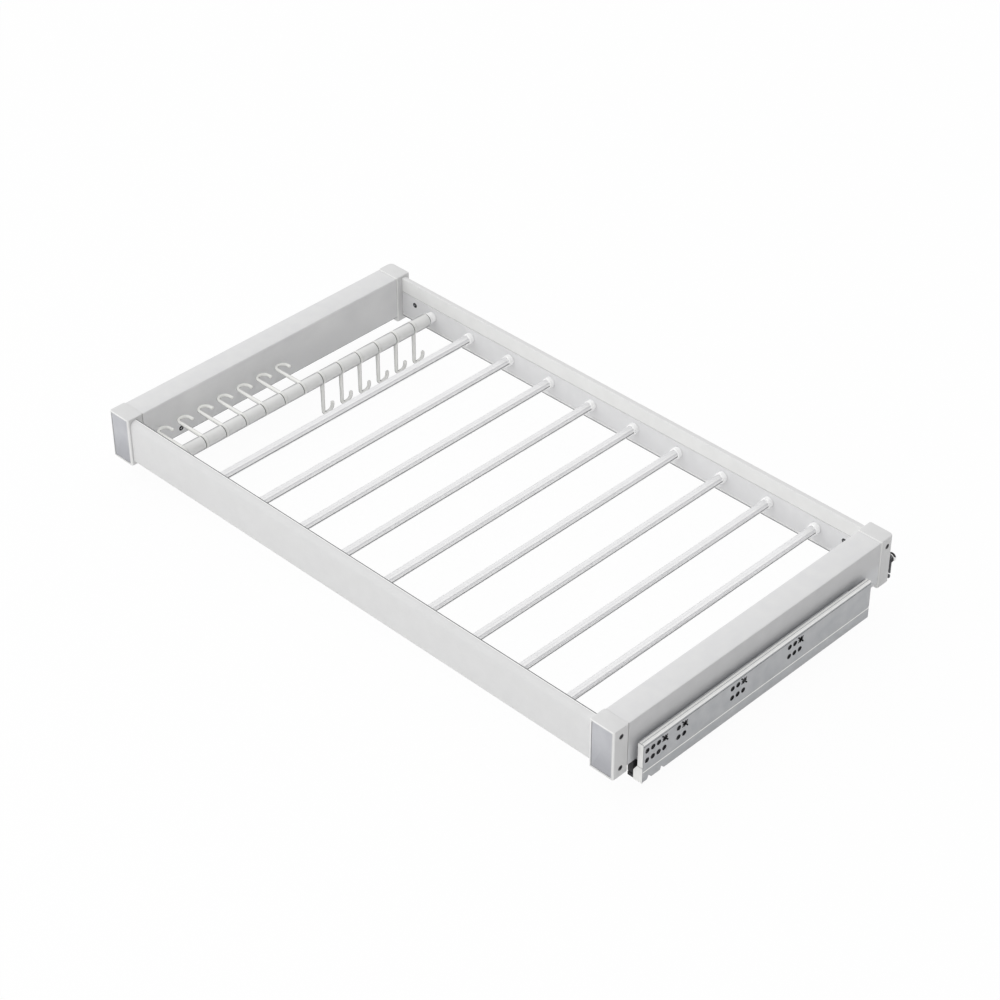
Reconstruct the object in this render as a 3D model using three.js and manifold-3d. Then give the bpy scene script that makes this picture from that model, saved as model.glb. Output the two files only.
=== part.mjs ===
// Pull out trouser rack for a wardrobe, in millimetres.
// X runs to the right, Y to the back and Z up, and the rack pulls out towards -Y.
// The origin lies midway between the cabinet's side walls, under the middle of the frame,
// level with the undersides of the corner blocks.

import * as THREE from 'three';
import { mergeVertices } from 'three/addons/utils/BufferGeometryUtils.js';
import Module from 'manifold-3d';

const wasm = await Module();
wasm.setup();

// Clearances that all the pieces share.
const touchGap = 0.3;
const slideGap = 0.5;
const overrun = 1;

// The frame, over its corner blocks.
const frameWidth = 864;
const frameDepth = 490;
const frameHeight = 70;

// Corner blocks, with tongues that plug into the beams and the rails.
const blockWidth = 36.5;
const blockLength = 24.3;
const blockCorner = 2.6;
const blockBevel = 1.1;
const tongueLength = 15;
const screwHeadRadius = 3.8;
const screwHoleRadius = 2.1;
const screwSinkDepth = 2.4;
const screwHoleDepth = 12;
const screwInset = 12;

// Thin finishing plates set into the fronts of the two front blocks.
const plateSideRim = 3.1;
const plateTopRim = 2.2;
const plateBottomRim = 3;
const plateRecess = 1.8;
const plateThickness = 1.2;
const plateCorner = 1.2;

// Side beams, hollow extrusions between the blocks.
const beamInset = 0.9;
const beamLift = 7.3;
const beamWall = 1.8;
const beamCorner = 1.4;

// Front and back rails, one hollow extrusion used both ways round.
const railSetback = 3.5;
const railDepth = 11;
const railLift = 6.5;
const railHeight = 60.3;
const railWall = 1.6;
const railRound = 8;
const railEdge = 0.9;
const railGrooveHeight = 38.7;
const railLipGrooveHeight = 4.2;
const railGrooveWidth = 1.6;
const railGrooveDepth = 0.7;

// Trouser bars, with a cap on each end that plugs into a rail and a saddle under the bar.
const barCount = 9;
const lastBarFromSide = 104.5;
const barAxisHeight = 31;
const barRadius = 6;
const barStripDepth = 0.45;
const barStripAngle = 52;
const barLipAngle = 36;
const barNotchAngle = 4;
const capRadius = 7.6;
const capLength = 7;
const capPegRadius = 3.6;
const capPegLength = 5;
const saddleRadius = 7.1;
const saddleLength = 13.5;

// Tube for the small hooks. Its front collar reaches the first hook, and the hooks can turn
// right round it between the left beam and the first bar.
const tubeRadius = 5.25;
const tubeWall = 1.2;
const collarEdge = 1.2;

// Ring hooks and the sleeves that space them along the tube.
const hookCount = 13;
const hooksRaised = 7;
const hookPitchShare = 0.06776;
const hookBeamRoom = 0.9;
const hookBarRoom = 15;
const hookWidth = 4;
const hookThickness = 3.2;
const hookRingRadius = 9.8;
const hookReach = 58;
const hookSpan = 15;
const hookTipRise = 3.8;
const hookShank = 4.2;
const hookTip = 2.8;
const hookRaisedAngle = 90;
const sleeveRadius = 9.2;

// Slides: cabinet member, middle member, frame member and the ball cages between them.
const slideSetback = 33.6;
const slideRearRoom = 56.4;
const slideSpread = 13;
const sheet = 1.2;
const slideTop = 38.4;
const slideBottom = -17.4;
const slideRunnerBottom = 3.2;
const slideFlange = 8;
const slideLip = 2;
const slideFoot = 13;
const bendRadius = 1.1;
const ballGap = 2.5;
const middleShorter = 30;
const middleReach = 2.3;
const shelfDepth = 7.5;
const endPlateGap = 0.4;
const endPlugLength = 6.5;

// Cabinet member's pressed bead, front tab, notched lower edge and screw holes.
const beadHeight = -1;
const beadWidth = 4.8;
const beadDepth = 0.8;
const tabShoulder = -3.8;
const notchRise = 6;
const notchFront = 4.8;
const notchTip = 0.8;
const notchBack = 8;
const notchDepth = 4;
const notchSteps = 3;
const screwRowLow = 13.4;
const screwRowHigh = 27.2;
const screwRowPitch = 9.5;
const slideHoleRadius = 3;
const slideHoleSteps = 8;
const starLength = 8;
const starWidth = 1.5;

// Ball cages. The rack pulls out by a little less than the slide's length, and a cage runs
// a quarter of that way along the middle member.
const cageSheet = 0.45;
const cageLength = 158;
const cageBallCount = 6;
const travelShorter = 10;

// Moulded catch under the front of each frame member.
const catchBottom = -16.8;
const catchLength = 46;
const catchWidth = 8;
const catchSlit = 1.3;
const catchSlitLength = 27;
const catchSlitRise = 5;
const catchNose = 6;

// Bracket and buffer behind each back block.
const rearPlateWidth = 14;
const rearPlateThickness = 1.8;
const rearPlateInset = 1;
const rearPlateBottom = 1;
const rearPlateTop = 35;
const rearBufferRadius = 5.6;
const rearBufferLength = 7.2;
const rearBufferHeight = 27;
const rearBufferEdge = 1.4;

// Places of the screw hole groups, as shares of the slide's length from its front end.
const holeGroupShares = [
  { start: 0.018, low: 4, high: 3 },
  { start: 0.148, low: 2, high: 1 },
  { start: 0.376, low: 3, high: 2 },
  { start: 0.627, low: 3, high: 2 },
];
// Peaks of the two notches, as shares of the slide's length from its front end.
const notchShares = [0.029, 0.081];
// Where a hook's taper starts and ends, as shares of the way along its points.
const taperShares = [0.1, 1];

// Points of a mesh that lie closer than this are one point.
const weldDistance = 0.0005;

// How finely round shapes are cut.
const roundSteps = 13;
const holeSteps = 12;
const cornerSteps = 3;
const bendSteps = 2;
const barSteps = 6;
const saddleSteps = 4;
const hookBendSteps = 8;

// Finishes.
const finish = (color, roughness, metalness) =>
  new THREE.MeshStandardMaterial({ color, roughness, metalness });
const blockFinish = finish(0xdcdcdc, 0.5, 0.05);
const beamFinish = finish(0xd8d9da, 0.38, 0.7);
const plateFinish = finish(0xb2b4b9, 0.35, 0.85);
const barFinish = finish(0xe9eaec, 0.42, 0.3);
const tubeFinish = finish(0xd0d1d2, 0.3, 0.8);
const sleeveFinish = finish(0xdfdfe0, 0.5, 0);
const hookFinish = finish(0xe6e6e2, 0.5, 0);
const zincFinish = finish(0xa2a4a7, 0.42, 0.8);
const blackFinish = finish(0x1b1b1c, 0.55, 0);
const cageFinish = finish(0x232324, 0.5, 0);

// Places that several pieces share.
const halfWidth = frameWidth / 2;
const halfDepth = frameDepth / 2;
const blockCentreX = halfWidth - blockWidth / 2;
const blockCentreY = halfDepth - blockLength / 2;
const beamWidth = blockWidth - 2 * beamInset;
const hookPitch = hookPitchShare * frameDepth;
const tubeFromSide = blockWidth - beamInset + hookReach + hookBeamRoom;
const firstBarFromSide = tubeFromSide + hookReach + hookBarRoom;
const barPitch = (frameWidth - firstBarFromSide - lastBarFromSide) / (barCount - 1);
const beamHeight = frameHeight - beamInset - beamLift;
const railOuter = halfDepth - railSetback;
const railInner = railOuter - railDepth;
const slideFace = halfWidth + slideSpread;
const slideFront = -halfDepth + slideSetback;
const slideBack = halfDepth - slideRearRoom;
const slideLength = slideBack - slideFront;
const middleBack = slideBack - middleShorter;
const movingFront = slideFront + endPlugLength;
const cageRun = (slideLength - travelShorter) / 4;
const cageFront = movingFront + sheet + slideGap + cageRun;

// Heights of the slide's members, each one ball gap inside the last.
const cabinetTop = slideTop - sheet;
const cabinetBottom = slideRunnerBottom + sheet;
const middleTop = cabinetTop - ballGap;
const middleBottom = cabinetBottom + ballGap;
const frameMemberTop = middleTop - sheet - ballGap;
const frameMemberBottom = middleBottom + sheet + ballGap;

// Depths inwards from the cabinet wall, in the order that the members nest.
const outerCageWeb = sheet + touchGap;
const middleTip = outerCageWeb + cageSheet + touchGap;
const middleWeb = middleTip + middleReach;
const innerCageWeb = middleWeb + sheet + touchGap;
const frameMemberTip = slideFlange;
const frameMemberWeb = slideSpread + beamInset - touchGap - sheet;
const middleLipEnd = frameMemberWeb - slideGap;

// Outline points on an arc, angles in degrees.
function arc(x, y, radius, from, to, steps) {
  const points = [];
  for (let i = 0; i <= steps; i += 1) {
    const angle = THREE.MathUtils.degToRad(from + ((to - from) * i) / steps);
    points.push(new THREE.Vector2(x + radius * Math.cos(angle), y + radius * Math.sin(angle)));
  }
  return points;
}

// A rectangle about a centre, with round corners.
function roundedOutline(centreX, centreY, width, height, radius) {
  const x = width / 2 - radius;
  const y = height / 2 - radius;
  return [
    ...arc(centreX + x, centreY + y, radius, 0, 90, cornerSteps),
    ...arc(centreX - x, centreY + y, radius, 90, 180, cornerSteps),
    ...arc(centreX - x, centreY - y, radius, 180, 270, cornerSteps),
    ...arc(centreX + x, centreY - y, radius, 270, 360, cornerSteps),
  ];
}

// The corners of a bent strip, each turned into a short curve.
function bentLine(corners, radius) {
  const path = new THREE.Path();
  const last = corners.length - 1;
  path.moveTo(corners[0].x, corners[0].y);
  for (let i = 1; i < last; i += 1) {
    const corner = corners[i];
    const before = corners[i - 1].clone().sub(corner).setLength(radius).add(corner);
    const after = corners[i + 1].clone().sub(corner).setLength(radius).add(corner);
    path.lineTo(before.x, before.y);
    path.quadraticCurveTo(corner.x, corner.y, after.x, after.y);
  }
  path.lineTo(corners[last].x, corners[last].y);
  return path.getPoints(bendSteps);
}

// The outline of a strip that follows a line, as wide each side as halfAt says.
function ribbon(line, halfAt) {
  const left = [];
  const right = [];
  const last = line.length - 1;
  for (let i = 0; i <= last; i += 1) {
    const back = line[Math.max(i - 1, 0)];
    const here = line[i];
    const ahead = line[Math.min(i + 1, last)];
    const arriving = i > 0 ? here.clone().sub(back).normalize() : ahead.clone().sub(here).normalize();
    const leaving = i < last ? ahead.clone().sub(here).normalize() : arriving.clone();
    const arrivingNormal = new THREE.Vector2(-arriving.y, arriving.x);
    const normal = arriving.clone().add(leaving).normalize();
    normal.set(-normal.y, normal.x);
    const offset = normal.multiplyScalar(halfAt(i / last) / normal.dot(arrivingNormal));
    left.push(here.clone().add(offset));
    right.unshift(here.clone().sub(offset));
  }
  return new THREE.Shape([...left, ...right]);
}

// Extrusions along each axis. A shape's own two axes are the other two, in X, Y, Z order.
function alongX(shape, from, to) {
  const geometry = new THREE.ExtrudeGeometry(shape, { depth: to - from, bevelEnabled: false });
  const x = new THREE.Vector3(1, 0, 0);
  const y = new THREE.Vector3(0, 1, 0);
  const z = new THREE.Vector3(0, 0, 1);
  geometry.applyMatrix4(new THREE.Matrix4().makeBasis(y, z, x));
  return geometry.translate(from, 0, 0);
}

function alongY(shape, from, to) {
  const geometry = new THREE.ExtrudeGeometry(shape, { depth: to - from, bevelEnabled: false });
  return geometry.rotateX(Math.PI / 2).translate(0, to, 0);
}

// A box from its lowest to its highest corner.
function boxBetween(low, high) {
  const size = high.map((value, i) => value - low[i]);
  const middle = high.map((value, i) => (value + low[i]) / 2);
  return new THREE.BoxGeometry(...size).translate(...middle);
}

// A turned shape about Y, from pairs of radius and height.
function turned(pairs, steps = roundSteps) {
  return new THREE.LatheGeometry(pairs.map(([r, y]) => new THREE.Vector2(r, y)), steps);
}

// A closed mesh as a solid, and a solid as a mesh again.
function solid(geometry) {
  const bare = geometry.clone();
  bare.deleteAttribute('normal');
  bare.deleteAttribute('uv');
  const merged = mergeVertices(bare, weldDistance);
  return new wasm.Manifold(new wasm.Mesh({
    numProp: 3,
    vertProperties: new Float32Array(merged.attributes.position.array),
    triVerts: new Uint32Array(merged.index.array),
  }));
}

function fromSolid(body) {
  const mesh = body.getMesh();
  const geometry = new THREE.BufferGeometry();
  const positions = new THREE.BufferAttribute(new Float32Array(mesh.vertProperties), 3);
  geometry.setAttribute('position', positions);
  geometry.setIndex(new THREE.BufferAttribute(new Uint32Array(mesh.triVerts), 1));
  geometry.computeVertexNormals();
  return geometry;
}

// Joins the first list of shapes and cuts the second list from them.
function built(joined, cut = []) {
  let body = solid(joined[0]);
  for (const geometry of joined.slice(1)) {
    body = body.add(solid(geometry));
  }
  for (const geometry of cut) {
    body = body.subtract(solid(geometry));
  }
  return fromSolid(body);
}

function piece(name, geometry, material, x = 0, y = 0, z = 0) {
  const mesh = new THREE.Mesh(geometry, material);
  mesh.name = name;
  mesh.position.set(x, y, z);
  return mesh;
}

// A countersunk screw hole whose mouth faces +Y, from the face at height 0 inwards.
function sunkHole() {
  return turned([
    [0, -screwHoleDepth],
    [screwHoleRadius, -screwHoleDepth],
    [screwHoleRadius, -screwSinkDepth],
    [screwHeadRadius, 0],
    [screwHeadRadius, overrun],
    [0, overrun],
  ], holeSteps);
}

// One corner block. side is 1 on the right, end is 1 at the back. A front block has two screw
// holes in its outer side, and a back block only the upper one.
function cornerBlock(side, end) {
  const outline = new THREE.Shape(roundedOutline(0, 0, blockWidth, blockLength, blockCorner));
  const body = new THREE.ExtrudeGeometry(outline, {
    depth: frameHeight - 2 * blockBevel,
    bevelThickness: blockBevel,
    bevelSize: blockBevel,
    bevelOffset: -blockBevel,
    bevelSegments: 1,
  }).translate(0, 0, blockBevel);
  const beamTongueX = beamWidth / 2 - beamWall - touchGap;
  const beamTongueLow = beamLift + beamWall + touchGap;
  const beamTongueHigh = beamLift + beamHeight - beamWall - touchGap;
  const innerEnd = -end * (blockLength / 2);
  const beamTongueEnds = [innerEnd + end * overrun, innerEnd - end * tongueLength].sort((a, b) => a - b);
  const beamTongue = boxBetween(
    [-beamTongueX, beamTongueEnds[0], beamTongueLow],
    [beamTongueX, beamTongueEnds[1], beamTongueHigh],
  );
  const outerY = end * (railOuter - blockCentreY);
  const railTongueSides = [
    outerY - end * (railWall + touchGap),
    outerY - end * (railDepth - railWall - touchGap),
  ].sort((a, b) => a - b);
  const innerSide = -side * (blockWidth / 2);
  const railTongueEnds = [innerSide + side * overrun, innerSide - side * tongueLength].sort((a, b) => a - b);
  const railTongue = boxBetween(
    [railTongueEnds[0], railTongueSides[0], railLift + railWall + touchGap],
    [railTongueEnds[1], railTongueSides[1], railLift + railHeight - railRound],
  );
  const screwHeights = end < 0 ? [screwInset, frameHeight - screwInset] : [frameHeight - screwInset];
  const cuts = screwHeights.map((height) => (
    sunkHole().rotateZ(-side * (Math.PI / 2)).translate(side * (blockWidth / 2), 0, height)
  ));
  if (end < 0) {
    cuts.push(alongY(frontPlateOutline(0), -blockLength / 2 - overrun, -blockLength / 2 + plateRecess));
  }
  return built([body, beamTongue, railTongue], cuts);
}

// The outline of a front plate's recess, or of the plate itself when it is drawn in by a gap.
function frontPlateOutline(gap) {
  const width = blockWidth - 2 * plateSideRim - 2 * gap;
  const height = frameHeight - plateTopRim - plateBottomRim - 2 * gap;
  const centre = (frameHeight - plateTopRim + plateBottomRim) / 2;
  return new THREE.Shape(roundedOutline(0, centre, width, height, plateCorner));
}

function frontPlate() {
  const back = -blockLength / 2 + plateRecess - touchGap;
  return alongY(frontPlateOutline(touchGap), back - plateThickness, back);
}

function sideBeam() {
  const reach = halfDepth - blockLength - touchGap;
  const centre = beamLift + beamHeight / 2;
  const outline = new THREE.Shape(roundedOutline(0, centre, beamWidth, beamHeight, beamCorner));
  const hollowWidth = beamWidth - 2 * beamWall;
  const hollowHeight = beamHeight - 2 * beamWall;
  outline.holes.push(new THREE.Path(roundedOutline(0, centre, hollowWidth, hollowHeight, beamCorner / 2)));
  return alongY(outline, -reach, reach);
}

// A V groove in the rail's inner face, as points from below to above.
function railGroove(height) {
  return [
    [railDepth, height - railGrooveWidth / 2],
    [railDepth - railGrooveDepth, height],
    [railDepth, height + railGrooveWidth / 2],
  ];
}

// A rail's section: depth inwards from its outer face, and height over its underside.
function railOutline(end) {
  const place = ([depth, height]) => new THREE.Vector2(end * (railOuter - depth), railLift + height);
  const top = railHeight;
  const shoulder = (radius) => (
    arc(railRound, top - railRound, radius, 90, 180, cornerSteps).map(({ x, y }) => [x, y])
  );
  const outer = [
    [railEdge, 0],
    [railDepth - railEdge, 0],
    [railDepth, railEdge],
    ...railGroove(railLipGrooveHeight),
    ...railGroove(railGrooveHeight),
    [railDepth, top - railEdge],
    [railDepth - railEdge, top],
    ...shoulder(railRound),
    [0, railEdge],
  ];
  const inner = [
    [railWall, railWall],
    [railDepth - railWall, railWall],
    [railDepth - railWall, top - railWall],
    ...shoulder(railRound - railWall),
  ];
  const outline = new THREE.Shape(outer.map(place));
  outline.holes.push(new THREE.Path(inner.map(place).reverse()));
  return outline;
}

function rail(end) {
  const reach = halfWidth - blockWidth - touchGap;
  const body = alongX(railOutline(end), -reach, reach);
  const pegHole = (x, radius) => (
    turned([
      [0, railInner - overrun],
      [radius, railInner - overrun],
      [radius, railInner + railWall + overrun],
      [0, railInner + railWall + overrun],
    ], holeSteps).rotateZ(end > 0 ? 0 : Math.PI).translate(x, 0, barAxisHeight)
  );
  const holes = barPlaces().map((x) => pegHole(x, capPegRadius + touchGap));
  holes.push(pegHole(tubeFromSide - halfWidth, tubeRadius + touchGap));
  return built([body], holes);
}

function barPlaces() {
  return Array.from({ length: barCount }, (_, i) => firstBarFromSide - halfWidth + i * barPitch);
}

// A bar's section: round, with a strip let into its top and a fine notch low on each side.
function barOutline() {
  const stripEdge = 90 - barStripAngle / 2;
  const stripOtherEdge = 90 + barStripAngle / 2;
  const inset = barRadius - barStripDepth;
  const notch = (angle) => [
    ...arc(0, 0, barRadius, angle - barNotchAngle, angle - barNotchAngle, 1).slice(1),
    ...arc(0, 0, inset, angle, angle, 1).slice(1),
    ...arc(0, 0, barRadius, angle + barNotchAngle, angle + barNotchAngle, 1).slice(1),
  ];
  return new THREE.Shape([
    ...notch(barLipAngle),
    ...notch(stripEdge),
    ...arc(0, 0, barRadius, stripEdge + 3 * barNotchAngle, stripOtherEdge - 3 * barNotchAngle, 2),
    ...notch(stripOtherEdge),
    ...notch(180 - barLipAngle),
    ...arc(0, 0, barRadius, 180 + barNotchAngle, 360 - barNotchAngle, barSteps),
  ]);
}

function trouserBar() {
  const face = railInner - touchGap;
  const reach = face - capLength / 2;
  const cap = () => turned([
    [0, face - capLength],
    [capRadius, face - capLength],
    [capRadius, face],
    [capPegRadius, face],
    [capPegRadius, face + capPegLength],
    [0, face + capPegLength],
  ], holeSteps);
  const under = new THREE.Shape(arc(0, 0, saddleRadius, 180, 360, saddleSteps));
  const saddle = () => alongY(under, face - saddleLength, reach);
  return built([
    alongY(barOutline(), -reach, reach),
    saddle(),
    saddle().rotateZ(Math.PI),
    cap(),
    cap().rotateZ(Math.PI),
  ]);
}

// Places of the hooks along the tube, counted from the front. The last one stands one
// sleeve's length off the back collar, and the front collar ends at the first one.
const sleeveLength = hookPitch - hookWidth - 2 * touchGap;
const backCollar = railInner - touchGap - capLength;
const lastHook = backCollar - touchGap - sleeveLength - touchGap - hookWidth / 2;
const firstHook = lastHook - (hookCount - 1) * hookPitch;
const frontCollar = firstHook - hookWidth / 2 - touchGap;

function hookPlaces() {
  return Array.from({ length: hookCount }, (_, i) => firstHook + i * hookPitch);
}

// One end of the hook tube, from its collar's inner face outwards.
function tubeEnd(collar) {
  const face = railInner - touchGap;
  const end = railInner + railWall + touchGap;
  return [
    [tubeRadius, collar],
    [capRadius - collarEdge, collar],
    [capRadius, collar + collarEdge],
    [capRadius, face],
    [tubeRadius, face],
    [tubeRadius, end],
    [tubeRadius - tubeWall, end],
  ];
}

function hookTube() {
  const front = tubeEnd(-frontCollar).map(([r, y]) => [r, -y]).reverse();
  return turned([...front, ...tubeEnd(backCollar), front[0]]);
}

function ring(outer, length) {
  const inner = tubeRadius + touchGap;
  const half = length / 2;
  return turned([[inner, -half], [outer, -half], [outer, half], [inner, half], [inner, -half]]);
}

// A ring with a flat shank that ends in a J, hanging down from the tube's axis.
function ringHook() {
  const bendRadiusMid = hookSpan / 2;
  const bendDrop = hookReach - bendRadiusMid - hookShank / 2;
  const bend = arc(bendRadiusMid, -bendDrop, bendRadiusMid, 180, 360, hookBendSteps);
  const start = new THREE.Vector2(0, -(hookRingRadius - overrun));
  const tip = new THREE.Vector2(hookSpan, -bendDrop + hookTipRise);
  const line = [start, ...bend, tip];
  const taper = (share) => {
    const part = THREE.MathUtils.smoothstep(share, ...taperShares);
    return THREE.MathUtils.lerp(hookShank, hookTip, part) / 2;
  };
  const shank = alongX(ribbon(line, taper), -hookThickness / 2, hookThickness / 2);
  return built([ring(hookRingRadius, hookWidth), shank]);
}

// A point of the slide's section: depth inwards from the cabinet wall, and height.
function slidePoint(side, depth, height) {
  return new THREE.Vector2(side * (slideFace - depth), height);
}

// A bent strip of sheet in the slide's section, run along Y. corners are on its middle line.
function bentStrip(side, corners, thickness, from, to, radius = bendRadius) {
  const line = bentLine(corners.map(([depth, height]) => slidePoint(side, depth, height)), radius);
  return alongY(ribbon(line, () => thickness / 2), from, to);
}

// A box in the slide's section, given by depths inwards, heights and places along Y.
function slideBox(side, depths, ys, heights) {
  const xs = depths.map((depth) => side * (slideFace - depth)).sort((a, b) => a - b);
  return boxBetween([xs[0], ys[0], heights[0]], [xs[1], ys[1], heights[1]]);
}

// Round and star shaped screw holes through the cabinet member's plate.
function slideHoles(side) {
  const holes = [];
  const round = (y, z) => (
    turned([
      [0, -overrun],
      [slideHoleRadius, -overrun],
      [slideHoleRadius, sheet + overrun],
      [0, sheet + overrun],
    ], slideHoleSteps).rotateZ(side * (Math.PI / 2)).translate(side * slideFace, y, z)
  );
  const slot = (y, z, turn) => (
    new THREE.BoxGeometry(2 * (sheet + overrun), starLength, starWidth)
      .rotateX(turn).translate(side * slideFace, y, z)
  );
  for (const { start, low, high } of holeGroupShares) {
    const first = slideFront + start * slideLength;
    for (let i = 0; i < low; i += 1) {
      holes.push(round(first + i * screwRowPitch, screwRowLow));
    }
    for (let i = 0; i < high; i += 1) {
      holes.push(round(first + i * screwRowPitch, screwRowHigh));
    }
    const starAt = first + high * screwRowPitch;
    holes.push(slot(starAt, screwRowHigh, Math.PI / 4));
    holes.push(slot(starAt, screwRowHigh, -Math.PI / 4));
  }
  return holes;
}

// The outline of one notch in the cabinet member's lower edge, steep towards the front.
function notchOutline(peak) {
  const low = slideBottom - overrun;
  const top = slideBottom + notchRise;
  const path = new THREE.Path();
  path.moveTo(peak - notchFront, low);
  path.quadraticCurveTo(peak - notchTip, slideBottom, peak - notchTip, top);
  path.lineTo(peak + notchTip, top);
  path.quadraticCurveTo(peak + notchTip, slideBottom + notchRise / 2, peak + notchBack, low);
  return new THREE.Shape(path.getPoints(notchSteps));
}

// The member fixed to the cabinet wall, from its top flange down to its foot.
function cabinetMember(side) {
  const mid = sheet / 2;
  const main = bentStrip(side, [
    [slideFlange - mid, cabinetTop - slideLip],
    [slideFlange - mid, slideTop - mid],
    [mid, slideTop - mid],
    [mid, beadHeight + beadWidth / 2],
    [mid + beadDepth, beadHeight],
    [mid, beadHeight - beadWidth / 2],
    [mid, slideBottom + mid],
    [slideFoot, slideBottom + mid],
  ], sheet, slideFront, slideBack);
  const runner = bentStrip(side, [
    [mid, slideRunnerBottom + mid],
    [slideFlange - mid, slideRunnerBottom + mid],
    [slideFlange - mid, cabinetBottom + slideLip],
  ], sheet, slideFront, slideBack);
  const tab = alongY(new THREE.Shape([
    slidePoint(side, 0, slideBottom),
    slidePoint(side, slideFoot, slideBottom),
    slidePoint(side, slideFoot, tabShoulder),
    slidePoint(side, slideFlange, cabinetBottom),
    slidePoint(side, 0, cabinetBottom),
  ]), slideFront, slideFront + sheet);
  const endPlateRoom = slideBox(
    side,
    [-overrun, slideFlange + overrun],
    [slideFront - overrun, slideFront + sheet + touchGap],
    [cabinetBottom, slideTop + overrun],
  );
  const notches = notchShares.map((share) => {
    const xs = [side * (slideFace + overrun), side * (slideFace - notchDepth)].sort((a, b) => a - b);
    return alongX(notchOutline(slideFront + share * slideLength), ...xs);
  });
  return built([main, runner, tab], [endPlateRoom, ...slideHoles(side), ...notches]);
}

// The member between the other two: an H section with an end plate plugged into its front.
function middleMember(side) {
  const webEnd = middleWeb + sheet;
  const lip = middleLipEnd - sheet;
  const top = middleTop;
  const low = middleBottom;
  const outline = new THREE.Shape([
    [middleTip, top],
    [middleLipEnd, top],
    [middleLipEnd, top - sheet - slideLip],
    [lip, top - sheet - slideLip],
    [lip, top - sheet],
    [webEnd, top - sheet],
    [webEnd, low + sheet],
    [lip, low + sheet],
    [lip, low + sheet + slideLip],
    [middleLipEnd, low + sheet + slideLip],
    [middleLipEnd, low],
    [middleTip, low],
    [middleTip, low + sheet],
    [middleWeb, low + sheet],
    [middleWeb, top - sheet],
    [middleTip, top - sheet],
  ].map(([depth, height]) => slidePoint(side, depth, height)));
  const body = alongY(outline, movingFront, middleBack);
  const plug = slideBox(side, [middleTip, webEnd], [slideFront, movingFront + sheet], [low, top]);
  const endPlate = slideBox(
    side,
    [endPlateGap, frameMemberTip - touchGap],
    [slideFront, slideFront + sheet],
    [cabinetBottom + touchGap, slideTop - endPlateGap],
  );
  return built([body, plug, endPlate]);
}

// The member screwed to the side beam, with a shelf that carries the beam from below.
function frameMember(side) {
  const from = movingFront;
  const to = movingFront + slideLength;
  const mid = sheet / 2;
  const web = frameMemberWeb + mid;
  const shelf = beamLift - touchGap - mid;
  const main = bentStrip(side, [
    [web + shelfDepth, shelf],
    [web, shelf],
    [web, frameMemberTop - mid],
    [frameMemberTip, frameMemberTop - mid],
  ], sheet, from, to);
  const lower = slideBox(
    side,
    [frameMemberTip, frameMemberWeb + sheet],
    [from, to],
    [frameMemberBottom, frameMemberBottom + sheet],
  );
  return built([main, lower]);
}

// A ball cage: a bent strip with a row of balls along its top and its bottom.
function ballCage(side, web, flangeEnd, gapTop, gapBottom) {
  const mid = cageSheet / 2;
  const high = gapTop - ballGap / 2;
  const low = gapBottom + ballGap / 2;
  const from = cageFront;
  const to = cageFront + cageLength;
  const strip = bentStrip(side, [
    [flangeEnd, high],
    [web + mid, high],
    [web + mid, low],
    [flangeEnd, low],
  ], cageSheet, from, to, bendRadius / 2);
  const radius = ballGap / 2 - touchGap;
  const depth = (web + cageSheet + flangeEnd) / 2;
  const balls = [];
  for (let i = 0; i < cageBallCount; i += 1) {
    const y = from + (cageLength * (i + 1)) / (cageBallCount + 1);
    for (const height of [high, low]) {
      const ball = new THREE.OctahedronGeometry(radius, 0);
      balls.push(ball.translate(side * (slideFace - depth), y, height));
    }
  }
  return built([strip, ...balls]);
}

// The moulded catch, with a lever slit in from its front end.
function frontCatch() {
  const high = beamLift - touchGap - sheet - touchGap;
  const slitLow = catchBottom + catchSlitRise;
  const outline = new THREE.Shape([
    new THREE.Vector2(0, catchBottom),
    new THREE.Vector2(catchLength - catchNose, catchBottom),
    new THREE.Vector2(catchLength, catchBottom + catchNose),
    new THREE.Vector2(catchLength, high),
    new THREE.Vector2(0, high),
    new THREE.Vector2(0, slitLow + catchSlit),
    new THREE.Vector2(catchSlitLength, slitLow + catchSlit),
    new THREE.Vector2(catchSlitLength, slitLow),
    new THREE.Vector2(0, slitLow),
  ]);
  return alongX(outline, -catchWidth / 2, catchWidth / 2);
}

// The bracket behind a back block, with its round buffer.
function rearBracket() {
  const outline = new THREE.Shape(roundedOutline(
    0,
    (rearPlateTop + rearPlateBottom) / 2,
    rearPlateWidth,
    rearPlateTop - rearPlateBottom,
    blockCorner,
  ));
  const plate = alongY(outline, 0, rearPlateThickness);
  const tip = rearPlateThickness + rearBufferLength;
  const buffer = turned([
    [0, 0],
    [rearBufferRadius, 0],
    [rearBufferRadius, tip - rearBufferEdge],
    [rearBufferRadius - rearBufferEdge, tip],
    [0, tip],
  ], holeSteps).translate(0, 0, rearBufferHeight);
  return built([plate, buffer]);
}

const sideName = (side) => (side > 0 ? 'right' : 'left');
const endName = (end) => (end > 0 ? 'back' : 'front');
const twoDigits = (number) => String(number).padStart(2, '0');

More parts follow.
